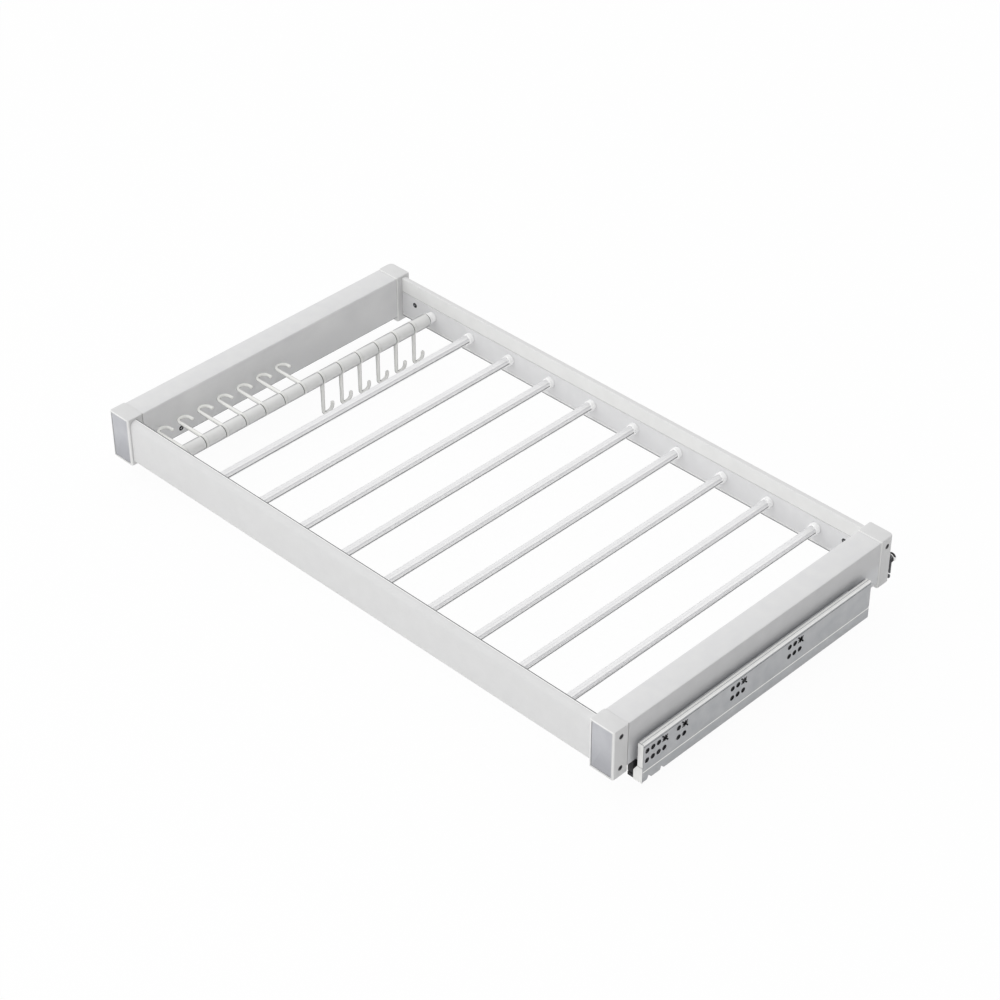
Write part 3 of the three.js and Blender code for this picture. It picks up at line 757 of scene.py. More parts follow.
# Painted shade in the pressed line and on the bead's upper slope.
ZINC_GROOVE_SHADE = Finish("zinc_groove_painted_shade", (120, 121, 124), (110, 111, 114), 0.4, 0.5, 0.2)
# Painted highlight: a near-white, slightly glowing copy of the zinc for faces that catch the light.
STEEL_PAINTED_HIGHLIGHT = Finish("steel_painted_highlight", (254, 254, 252), (250, 250, 248), 0.36, 0.46, 0.2, 90,
                    drawn=(Axis.Y, 1300, 3), glow=0.03)
# Dark zinc, also the painted shade on the middle member's web, so that the holes in front of it
# look dark.
DARK_ZINC_AND_SHADE = Finish("dark_zinc_and_painted_shade", (112, 113, 116), (100, 101, 104), 0.4, 0.5, 0.2)
# Painted shade: near black for the walls of holes and the gap behind a sleeve.
GAP_AND_HOLE_SHADE = Finish("gap_and_hole_painted_shade", (40, 41, 44), (32, 33, 36), 0.5, 0.6)
BLACK_PLASTIC = Finish("black_plastic", (38, 38, 40), (28, 28, 30), 0.42, 0.58, grain=(1800, 20))
CAGE_PLASTIC = Finish("cage_strip", (40, 40, 41), (32, 32, 33), 0.45, 0.55, grain=(2000, 10))
BALL_STEEL = Finish("ball_steel", (205, 206, 208), (196, 197, 200), 0.12, 0.2, 1.0,
                    grain=(3000, 1))
DARK_STEEL = Finish("dark_screw_steel", (42, 42, 46), (30, 30, 34), 0.25, 0.35, 0.3,
                    grain=(2600, 4))


def dress(mould: Mould, name: str, coats: Sequence[Finish], body: str, slot: str, *nodes: str,
          smoother: float = 32.0) -> None:
    """Finish a piece and give it its finishes, its body and the nodes it stands for.

    Args:
        mould: The piece's mould, which is used up.
        name: The piece's name.
        coats: Its finishes, of which the first is on every face that isn't painted.
        body: The CAD body that it moves with.
        slot: The name of a material slot; not used.
        nodes: The CAD nodes that it replaces.
        smoother: Edges that turn by less than this many degrees are shaded smooth.
    """
    made = mould.object(name, smoother)
    for coat in coats:
        made.data.materials.append(coat.material())
    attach(made, body)
    if nodes:
        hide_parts(*nodes)
    log.info("%s: %d faces, %s", made.name, len(made.data.polygons), coats[0].name)


@dataclass
class Screw:
    """A cross-head screw, of which only the head shows."""

    head: float = 3.4
    rise: float = 1.1
    sunk: bool = True
    slot_length: float = 3.8
    slot_width: float = 0.9
    slot_depth: float = 1.2

    def mould(self, centre: Point, axis: Axis, outward: int) -> Mould:
        """Build the screw.

        Args:
            centre: The middle of the head's outer face.
            axis: The screw's axis.
            outward: 1 if the head faces up the axis, or -1.

        Returns:
            The screw's mould.
        """
        head, under = self.head, -self.rise - 0.6
        if self.sunk:
            profile = [(0, 0), (head - 0.3, 0), (head, -0.25), (head * 0.5, -2.2),
                       (head * 0.5, -9), (0, -9)]
        else:
            profile = [(0, 0), (head * 0.55, -0.12), (head * 0.9, -0.5), (head, -1.0),
                       (head, under), (0, under)]
        screw = Mould().turned([(radius, outward * along) for radius, along in profile], axis,
                               centre, 28)
        for across, up in ((self.slot_length, self.slot_width),
                           (self.slot_width, self.slot_length)):
            half = Vector(axis.place(across / 2, up / 2, self.slot_depth))
            screw.combined(Mould().block(Vector(centre) - half, Vector(centre) + half))
        return screw


@dataclass
class CornerBlocks:
    """The four die-cast corner blocks with their screws, and the two front plates.

    A front block has two screws in its outer side, and a back block only the upper one.
    """

    frame_width: float = 864
    frame_depth: float = 490
    height: float = 70
    width: float = 36.5
    length: float = 24.3
    corner: float = 2.6
    rear_corner: float = 7
    edge: float = 1.1
    rear_edge: float = 1.7
    beam_tongue: tuple[float, float, float] = (30.5, 57.6, 9.4)
    rail_tongue: tuple[float, float, float] = (7.2, 48.6, 8.4)
    rail_middle: float = 236
    tongue_reach: float = 15
    tongue_edge: float = 0.5
    screw_head: float = 3.5
    screw_inset: float = 12
    screw_sunk: float = 0.35
    sink_radius: float = 3.8
    sink_depth: float = 2.4
    bore_radius: float = 2.1
    bore_depth: float = 12
    recess: float = 1.8
    side_rim: float = 3.1
    top_rim: float = 2.2
    bottom_rim: float = 3.0
    gap: float = 0.3
    plate: float = 1.2
    plate_corner: float = 1.2
    plate_edge: float = 1.2

    def build(self) -> None:
        """Make all four blocks, their screws and the front plates."""
        for side_name, side in SIDES.items():
            for end_name, end in ENDS.items():
                name = f"{end_name}_{side_name}"
                dress(self.block(side, end), f"block_{name}", (CAST_GREY, CAST_PAINTED_HIGHLIGHT), "rack",
                      "block", f"corner_block_{name}")
                dress(self.screws(side, end), f"block_screws_{name}", [DARK_STEEL], "rack",
                      "zinc")
            dress(self.front_plate(side), f"plate_{side_name}", (BRUSHED_PLATE_SHADED_FOOT, PLATE_EDGE_SHADE),
                  "rack", "plate", f"front_plate_{side_name}")

    def centre(self, side: int, end: int) -> Span:
        """Return a block's centre in plan."""
        return (side * (self.frame_width - self.width) / 2,
                end * (self.frame_depth - self.length) / 2)

    def screw_heights(self, end: int) -> list[float]:
        """Return the heights of the screws in the outer side of a front or back block."""
        upper = self.height - self.screw_inset
        return [self.screw_inset, upper] if end < 0 else [upper]

    def block(self, side: int, end: int) -> Mould:
        """Build one block with its tongues, holes and, at the front, its recess.

        Args:
            side: 1 on the right, or -1.
            end: 1 at the back, or -1.

        Returns:
            The block's mould.
        """
        x, y = self.centre(side, end)
        half_x, half_y = self.width / 2, self.length / 2
        body = Mould().block((x - half_x, y - half_y, 0), (x + half_x, y + half_y, self.height))
        upright = runs_along(Axis.Z, self.height / 2)
        rear = [edge for edge in body.mesh.edges if end > 0 and upright(edge)
                and (edge.verts[0].co.x - x) * side > 0 and edge.verts[0].co.y > y]
        body.bevelled(self.rear_corner, 6, where=lambda edge: edge in rear)
        body.bevelled(self.corner, 5, 60, upright)
        body.bevelled(self.edge if end < 0 else self.rear_edge, 4, 60)
        # Painted highlight on the bevels that face the front, and on a back block's front rim.
        rim = y - half_y + 0.2
        body.painted(1, lambda face: face.normal.y < -0.25 and (
            face.normal.y > -0.985 or (end > 0 and centre_of(face).y < rim)))
        bore, sink = self.bore_radius, self.sink_radius
        for z in self.screw_heights(end):
            body.combined(Mould().turned(
                [(0, -side * self.bore_depth), (bore, -side * self.bore_depth),
                 (bore, -side * self.sink_depth), (sink, 0), (sink, side), (0, side)],
                Axis.X, (x + side * half_x, y, z), 32))
        if end < 0:
            body.combined(self._plate_prism(x, (y - half_y - 1, y - half_y + self.recess), 0.0))
        inner_y = y - end * half_y
        ys = sorted((inner_y + end, inner_y - end * self.tongue_reach))
        wide, high, low = self.beam_tongue
        tongue = Mould().block((x - wide / 2, ys[0], low), (x + wide / 2, ys[1], low + high))
        inner_x = x - side * half_x
        xs = sorted((inner_x + side, inner_x - side * self.tongue_reach))
        deep, high, low = self.rail_tongue
        middle = end * self.rail_middle
        short = Mould().block((xs[0], middle - deep / 2, low),
                              (xs[1], middle + deep / 2, low + high))
        return body.join(tongue.bevelled(self.tongue_edge), short.bevelled(self.tongue_edge))

    def _plate_prism(self, x: float, ends: Span, gap: float) -> Mould:
        """Build the upright rounded shape of a front plate or of its recess.

        Args:
            x: The block's middle.
            ends: Where it starts and ends along Y.
            gap: How far it stands inside the recess.

        Returns:
            The shape's mould.
        """
        start, end = ends
        low = (x - self.width / 2 + self.side_rim + gap, start, self.bottom_rim + gap)
        high = (x + self.width / 2 - self.side_rim - gap, end, self.height - self.top_rim - gap)
        return Mould().block(low, high).bevelled(
            self.plate_corner, 4, where=runs_along(Axis.Y, 0.5 * (end - start)))

    def front_plate(self, side: int) -> Mould:
        """Build the thin plate that lies in a front block's recess.

        Args:
            side: 1 on the right, or -1.

        Returns:
            The plate's mould.
        """
        x, y = self.centre(side, -1)
        back = y - self.length / 2 + self.recess - self.gap
        plate = self._plate_prism(x, (back - self.plate, back), self.gap)
        # Painted shade on every face but the front one, which shows as a dark line round the plate.
        return plate.bevelled(self.plate_edge, 2, 60).painted(
            1, lambda face: face.normal.y > -0.8)

    def screws(self, side: int, end: int) -> Mould:
        """Build the countersunk screws in a block's outer side.

        Args:
            side: 1 on the right, or -1.
            end: 1 at the back, or -1.

        Returns:
            The screws' mould.
        """
        x, y = self.centre(side, end)
        face = x + side * self.width / 2 - side * self.screw_sunk
        return Mould().join(*(Screw(self.screw_head).mould((face, y, z), Axis.X, side)
                              for z in self.screw_heights(end)))


@dataclass
class SideBeams:
    """The two hollow extrusions at the sides of the frame."""

    centre_x: float = 413.75
    width: float = 34.7
    bottom: float = 7.3
    top: float = 69.1
    reach: float = 220.4
    wall: float = 1.8
    corner: float = 1.4
    screw_y: float = -162
    screw_z: float = 17
    screw_head: float = 4
    screw_proud: float = 0.6

    def build(self) -> None:
        """Make both beams and the screw in the inner side of each."""
        for name, side in SIDES.items():
            dress(self.beam(side), f"beam_{name}",
                  (DRAWN_ALONG_Y, BEAM_SIDE_PAINTED_LIGHT_AND_SHADE, BEAM_INSIDE_PAINTED_LIGHT_AND_SHADE, EDGE_SHADE), "rack", "beam",
                  f"side_beam_{name}")
            face = side * (self.centre_x - self.width / 2 - self.screw_proud)
            screw = Screw(self.screw_head, sunk=False)
            dress(screw.mould((face, self.screw_y, self.screw_z), Axis.X, -side),
                  f"beam_screw_{name}", [DARK_STEEL], "rack", "zinc")

    def beam(self, side: int) -> Mould:
        """Build one beam, a rounded tube whose outer and inner sides carry painted light and shade,
        with a painted shade along its lower inner edge.

        Args:
            side: 1 on the right, or -1.

        Returns:
            The beam's mould.
        """
        tube = self._bar(side, 0.0, self.corner, self.reach)
        tube.combined(self._bar(side, self.wall, self.corner / 2, self.reach + 2))
        # Painted shade on the outer side, painted light on the inner side, and painted shade along
        # the lower inner edge.
        tube.painted(1, lambda face: face.normal.x * side > 0.75)
        tube.painted(2, lambda face: face.normal.x * side < -0.75)
        return tube.painted(3, lambda face: face.normal.z < -0.1
                            and face.normal.x * side < -0.1)

    def _bar(self, side: int, inset: float, corner: float, reach: float) -> Mould:
        """Build a solid bar with rounded long edges.

        Args:
            side: 1 on the right, or -1.
            inset: How far it is set in from the beam's outside.
            corner: The width of its rounded edges.
            reach: How far it goes to the front and to the back.

        Returns:
            The bar's mould.
        """
        x, half = side * self.centre_x, self.width / 2 - inset
        bar = Mould().block((x - half, -reach, self.bottom + inset),
                            (x + half, reach, self.top - inset))
        return bar.bevelled(corner, 5, where=runs_along(Axis.Y, reach))


@dataclass
class Rails:
    """The front and back rails with their grooved inner faces."""

    outer: float = 241.5
    depth: float = 11
    lift: float = 6.5
    height: float = 60.3
    round: float = 8
    edge: float = 0.9
    wall: float = 1.6
    groove_low: float = 4.2
    groove_high: float = 38.7
    groove_width: float = 1.6
    groove_depth: float = 0.7
    groove_reach: float = 0.95
    # Sizes of the strips painted as shade at the foot and along the front rail's inner top edge,
    # and of the painted highlight on its top.
    foot_shade_line: float = 0.9
    top_shade_line: float = 0.9
    top_highlight: float = 3.4
    reach: float = 395.2
    screw_x: float = 371
    screw_z: float = 34
    screw_head: float = 4
    screw_proud: float = 0.6

    def build(self) -> None:
        """Make both rails and the screws that hold them."""
        for name, end in ENDS.items():
            dress(self.rail(end), f"rail_{name}",
                  (DRAWN_ALONG_X, RAIL_INSIDE_PAINTED_LIGHT_AND_SHADE, RAIL_UPPER_PAINTED_LIGHT, RAIL_GROOVE_SHADE, CAST_PAINTED_HIGHLIGHT, EDGE_SHADE),
                  "rack", "beam", f"{name}_rail")
            face = end * (self.outer - self.depth - self.screw_proud)
            screw = Screw(self.screw_head, sunk=False)
            dress(Mould().join(*(screw.mould((x, face, self.screw_z), Axis.Y, -end)
                                 for x in (-self.screw_x, self.screw_x))),
                  f"rail_screws_{name}", [DARK_STEEL], "rack", "zinc")

    def _groove(self, height: float) -> Outline:
        """List a groove's points from below to above, as depths and heights."""
        half, floor = self.groove_width / 2, self.depth - self.groove_depth
        return [(self.depth, height - half), (floor, height - half * 0.3),
                (floor, height + half * 0.3), (self.depth, height + half)]

    def rail(self, end: int) -> Mould:
        """Build one rail.

        Args:
            end: 1 at the back, or -1.

        Returns:
            The rail's mould, hollow.
        """
        top, edge, depth, wall = self.height, self.edge, self.depth, self.wall
        outer = [
            (edge, 0.0), (depth - edge, 0.0), *arc((depth - edge, edge), edge, 270, 360, 3)[1:],
            (depth, edge + self.foot_shade_line),
            *self._groove(self.groove_low), *self._groove(self.groove_high),
            *arc((depth - edge, top - edge), edge, 0, 90, 3),
            (depth - edge - self.top_shade_line, top),
            *arc((self.round, top - self.round), self.round, 90, 180, 10),
            *arc((edge, edge), edge, 180, 270, 3)[:-1],
        ]
        inner = [(wall, wall), (depth - wall, wall), (depth - wall, top - wall),
                 *arc((self.round, top - self.round), self.round - wall, 90, 180, 8)]
        rail = self._drawn(outer, end, self.reach).combined(
            self._drawn(inner, end, self.reach + 2))
        split = self.lift + self.groove_high
        brow = self.lift + edge + self.foot_shade_line
        brink = self.outer - depth + edge + self.top_shade_line
        # Painted light on the inner face, with painted shade fading in towards its foot below the
        # upper groove.
        rail.painted(2, lambda face: face.normal.y * end < -0.5)
        rail.painted(1, lambda face: face.normal.y * end < -0.75 and centre_of(face).z < split)
        # Painted highlight along the front rail's flat top.
        rail.painted(4, lambda face: end < 0 and face.normal.z > 0.93
                     and centre_of(face).y > depth - self.outer - self.top_highlight)
        # Painted shade along the foot strip of the inner face, and along the front rail's inner top
        # edge.
        rail.painted(5, lambda face: face.normal.y * end < -0.1 and centre_of(face).z < brow)
        rail.painted(5, lambda face: end < 0 and face.normal.z > 0.1
                     and abs(centre_of(face).y) < brink)
        # Painted shade in the upper groove, and a painted highlight on its lower lip.
        rail.painted(3, lambda face: self._in_groove(face, end))
        return rail.painted(4, lambda face: self._in_groove(face, end) and face.normal.z > 0.2)

    def _in_groove(self, face: Face, end: int) -> bool:
        """Tell whether a face lies in the upper groove."""
        middle = centre_of(face)
        return (end * middle.y < self.outer - self.depth + self.groove_reach
                and abs(middle.z - self.lift - self.groove_high) < self.groove_width / 2)

    def _drawn(self, outline: Outline, end: int, reach: float) -> Mould:
        """Draw a section of depths and heights along one end of the frame."""
        placed = [(end * (self.outer - depth), self.lift + height) for depth, height in outline]
        return Mould().prism(placed, Axis.X, -reach, reach)


@dataclass
class TrouserBars:
    """The nine bars, each with its two end caps.

    A sunk band round a bar is given by its two angles, in degrees, and its depth. The slope
    and the gap at a band's sides and the width of a facet are angles too.
    """

    count: int = 9
    first: float = -264.5
    pitch: float = 74
    height: float = 31
    radius: float = 6
    strip: tuple[float, float, float] = (64, 116, 0.45)
    channel: tuple[float, float, float] = (27, 44, 0.35)
    slot: tuple[float, float, float] = (-17, 1, 0.5)
    slope: float = 2
    band_gap: float = 0.5
    facet: float = 8
    face: float = 230.2
    end_gap: float = 0.5
    cap_radius: float = 7.6
    cap_length: float = 7
    cap_floor: float = 0.4
    cap_edge: float = 0.9
    saddle_radius: float = 7.1
    saddle_length: float = 13.5
    saddle_gap: float = 3
    saddle_angles: Span = (190, 350)
    saddle_edge: float = 0.35
    peg_radius: float = 3.6
    peg_length: float = 5
    slack: float = 0.05

    def build(self) -> None:
        """Make all the bars and caps."""
        for number in range(1, self.count + 1):
            x = self.first + (number - 1) * self.pitch
            dress(self.bar(x), f"bar_{number}", (SATIN_BAR, BAR_STRIP, BAR_CHANNEL_SHADE, BAR_SLOT_SHADE),
                  "rack", "bar", f"trouser_bar_{number}", smoother=25)
            dress(self.caps(x), f"bar_caps_{number}", [WHITE_CAP_GLOW], "rack", "bar")

    def _bands(self) -> list[tuple[float, float, float, int]]:
        """List the sunk bands round a bar.

        Returns:
            Both angles, the depth and the finish of each band.
        """
        bands = [(*self.strip, 1)]
        for (low, high, depth), coat in ((self.channel, 2), (self.slot, 3)):
            bands += [(low, high, depth, coat), (180 - high, 180 - low, depth, coat)]
        return sorted(bands)

    def bar(self, x: float) -> Mould:
        """Build one bar, with a strip let into its top and two bands sunk in each side.

        Args:
            x: Where it stands.

        Returns:
            The bar's mould.
        """
        bands = self._bands()
        starts = [band[0] for band in bands[1:]] + [bands[0][0] + 360]
        outline = []
        for (low, high, depth, _), following in zip(bands, starts):
            steps = max(2, round((high - low) / self.facet))
            outline += arc((0, 0), self.radius - depth, low + self.slope, high - self.slope, steps)
            steps = max(2, round((following - high) / self.facet))
            outline += arc((0, 0), self.radius, high + self.band_gap, following - self.band_gap,
                           steps)
        placed = [(x + across, self.height + up) for across, up in outline]
        reach = self.face - self.end_gap
        bar = Mould().prism(placed, Axis.Y, -reach, reach)
        # The strip in its own finish, and painted shade in the channels and slots.
        for low, high, _, coat in bands:
            bar.painted(coat, lambda face: self._between(face, x, low, high))
        return bar

    def _between(self, face: Face, x: float, low: float, high: float) -> bool:
        """Tell whether a face is one of a bar's long ones between two angles round it.

        Args:
            face: The face.
            x: Where the bar stands.
            low: The lower angle.
            high: The higher one.

        Returns:
            Whether it is.
        """
        middle = centre_of(face)
        angle = math.degrees(math.atan2(middle.z - self.height, middle.x - x))
        return abs(face.normal.y) <= 0.5 and (low < angle < high or low < angle + 360 < high)

    def caps(self, x: float) -> Mould:
        """Build the two caps of one bar, each a collar, a peg and a saddle below the bar.

        Args:
            x: Where the bar stands.

        Returns:
            The caps' mould.
        """
        caps = Mould()
        bore, cap, face = self.radius + self.slack, self.cap_radius, self.face
        start = face - self.cap_length
        for end in (-1, 1):
            profile = [
                (bore, start), *eased(cap, start, self.cap_edge), (cap, face),
                (self.peg_radius, face), (self.peg_radius, face + self.peg_length),
                (0, face + self.peg_length), (0, face - self.cap_floor),
                (bore, face - self.cap_floor),
            ]
            caps.turned([(radius, end * along) for radius, along in profile], Axis.Y,
                        (x, 0, self.height), 40, ring=True)
            first, last = self.saddle_angles
            section = [*arc((x, self.height), self.saddle_radius, first, last, 18),
                       *arc((x, self.height), bore, last, first, 18)]
            ends = sorted((end * (face - self.saddle_length), end * (face - self.saddle_gap)))
            caps.join(Mould().prism(section, Axis.Y, *ends).bevelled(self.saddle_edge, 2, 50))
        return caps


@dataclass(frozen=True)
class HookStance:
    """How a hook stands on the tube, and the form that goes with it.

    Attributes:
        turn: How far it is turned about the tube, in degrees.
        offset: How far its shank stands to the side of the tube's axis.
        reach: How far it reaches from the tube's axis.
        bends: The radii of its two bends.
        tip_rise: The length of its tip after the bends.
        finish: The finish of its shank and tip.
    """

    turn: float
    offset: float
    reach: float
    bends: Span
    tip_rise: float
    finish: Finish


RAISED_HOOK = HookStance(90, -7.1, 55.4, (7.7, 8.3), 6.2, HOOK_RAISED_LIT)
HANGING_HOOK = HookStance(0, 3.2, 58.2, (5.2, 8.4), 4.0, HOOK)


@dataclass
class HookRow:
    """The tube on the left with its collars, its sleeves and its thirteen hooks."""

    x: float = -337.5
    z: float = 31
    face: float = 230.2
    radius: float = 5.25
    wall: float = 1.2
    collar_radius: float = 7.6
    collar_edge: float = 0.6
    front_collar: float = 21.5
    back_collar: float = 7
    collar_ring: float = 8.4
    ring_length: float = 2.9
    ring_edge: float = 0.4
    tube_seat: float = 2.2
    count: int = 13
    raised: int = 7
    hook_width: float = 4
    hook_edge: float = 0.4
    ring_radius: float = 9.5
    sleeve_radius: float = 9.25
    sleeve_edge: float = 0.5
    sleeve_gap: float = 0.1
    neck: float = 0.9
    neck_radius: float = 8.7
    rim: float = 0.9
    thickness: float = 4.4
    span: float = 16.2
    shank: float = 5.0
    shank_end: float = 4.5
    shank_start: float = 0.4
    shank_root: float = 1
    shank_steps: int = 8
    bend_steps: int = 7
    tip: float = 4.6
    soft_edge: float = 1.5
    gap: float = 0.3
    slack: float = 0.05

    def build(self) -> None:
        """Make the tube, its collars, the sleeves and the hooks."""
        dress(self.tube(), "tube", [SATIN_TUBE], "rack", "tube", "hook_tube")
        dress(self.collars(), "tube_collars", [WHITE_CAP_GLOW], "rack", "tube")
        for number in range(1, self.count + 1):
            node = f"spacer_sleeve_{number:02d}"
            dress(self.sleeve(node, number == self.count), f"sleeve_{number:02d}",
                  (SLEEVE, SLEEVE_RIM_HIGHLIGHT, GAP_AND_HOLE_SHADE), "rack", "sleeve", node)
            stance = RAISED_HOOK if number <= self.raised else HANGING_HOOK
            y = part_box(node)[0].y / MM - self.gap - self.hook_width / 2
            dress(self.hook(y, stance), f"hook_{number:02d}", (stance.finish, HOOK_RING_SHADE),
                  f"hook_{number:02d}", "hook", f"ring_hook_{number:02d}")

    def _ring(self, profile: Outline, steps: int) -> Mould:
        """Turn a closed profile round the tube's axis."""
        return Mould().turned(profile, Axis.Y, (self.x, 0, self.z), steps, ring=True)

    def tube(self) -> Mould:
        """Build the plain tube from rail to rail."""
        end, outer, inner = self.face + self.tube_seat, self.radius, self.radius - self.wall
        return self._ring([(outer, -end), (outer, end), (inner, end), (inner, -end)], 40)

    def collars(self) -> Mould:
        """Build the long front collar and the short back one, which has a ring before it.

        Returns:
            The collars' mould.
        """
        bore, outer, edge = self.radius + self.slack, self.collar_radius, self.collar_edge
        front = -self.face + self.front_collar
        back = self.face - self.back_collar
        ring, soft, end = self.collar_ring, self.ring_edge, back - self.gap
        start = end - self.ring_length
        profiles = [
            [(bore, -self.face), (outer, -self.face), (outer, front - edge),
             (outer - edge, front), (bore, front)],
            [(bore, back), *eased(outer, back, edge), (outer, self.face), (bore, self.face)],
            [(bore, start), (ring - soft, start), (ring, start + soft), (ring, end - soft),
             (ring - soft, end), (bore, end)],
        ]
        return Mould().join(*(self._ring(profile, 40) for profile in profiles))

    def sleeve(self, node: str, last: bool) -> Mould:
        """Build one spacer sleeve where its CAD node stands, with a painted highlight on its back
        rim and a neck behind it painted dark as shade.

        Args:
            node: The sleeve's CAD node.
            last: Whether it is the last one, which leaves room for the collar's ring.

        Returns:
            The sleeve's mould.
        """
        low, high = (corner.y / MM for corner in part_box(node))
        low -= self.gap - self.sleeve_gap
        if last:
            high -= self.ring_length + self.gap
        outer, bore, edge = self.sleeve_radius, self.radius + self.slack, self.sleeve_edge
        back = high - self.neck
        sleeve = self._ring([
            (bore, low), *eased(outer, low, edge), (outer, back - self.rim),
            *reversed(eased(outer, back, edge, -1)), (self.neck_radius, back),
            (self.neck_radius, high), (bore, high)], 48)
        # Painted highlight on the back rim, and painted shade on the neck behind it.
        sleeve.painted(1, lambda face: centre_of(face).y > back - self.rim)
        return sleeve.painted(2, lambda face: centre_of(face).y > back + 0.01)

    def hook(self, y: float, stance: HookStance) -> Mould:
        """Build one hook.

        Args:
            y: The middle of its ring.
            stance: How it stands on the tube, and its form.

        Returns:
            The hook's mould, in place.
        """
        half, edge, ring = self.hook_width / 2, self.hook_edge, self.ring_radius
        bore = self.radius + self.gap
        hook = Mould().turned(
            [(bore, -half), (ring - edge, -half), (ring, -half + edge), (ring, half - edge),
             (ring - edge, half), (bore, half)], Axis.Y, (0, 0, 0), 48, ring=True)
        offset, thick = stance.offset, self.thickness / 2
        root = self.shank_root - math.sqrt(ring ** 2 - (abs(offset) + thick) ** 2)
        shank = Mould().block((offset - thick, -self.shank / 2, -ring - self.shank_start),
                              (offset + thick, self.shank / 2, root))
        face = shank.lowest_face()
        steps = self.shank_steps
        first, second = stance.bends
        drop = stance.reach - first - self.tip / 2
        fall = (drop - ring - self.shank_start) / steps
        narrow = (self.shank_end / self.shank) ** (1 / steps)
        for _ in range(steps):
            face = shank.drawn_on(face, Matrix.Translation((0, 0, -fall)), narrow)
        face = self._turned_end(shank, face, Vector((0, first, -drop)))
        run = self.span - first - second
        face = shank.drawn_on(face, Matrix.Translation((0, run, 0)))
        face = self._turned_end(shank, face, Vector((0, first + run, second - first - drop)))
        shank.drawn_on(face, Matrix.Translation((0, 0, stance.tip_rise)))
        shank.bevelled(self.soft_edge, 4, sharper=50)
        hook.combined(shank, "UNION")
        # Painted shade on the hook's ring.
        hook.painted(1, lambda face: math.hypot(
            centre_of(face).x, centre_of(face).z) < ring + 0.02)
        return hook.rotated(stance.turn, Axis.Y).moved((self.x, y, self.z))

    def _turned_end(self, shank: Mould, face: Face, centre: Vector) -> Face:
        """Carry a hook's end round a quarter turn and narrow it on the way.

        Args:
            shank: The hook's shank.
            face: Its present end.
            centre: The middle of the turn.

        Returns:
            The face at the new end.
        """
        steps = self.bend_steps
        narrow = (self.tip / self.shank_end) ** (0.5 / steps)
        turned = (Matrix.Translation(centre) @ Matrix.Rotation(math.radians(90 / steps), 4, "X")
                  @ Matrix.Translation(-centre))
        for _ in range(steps):
            face = shank.drawn_on(face, turned, narrow)
        return face


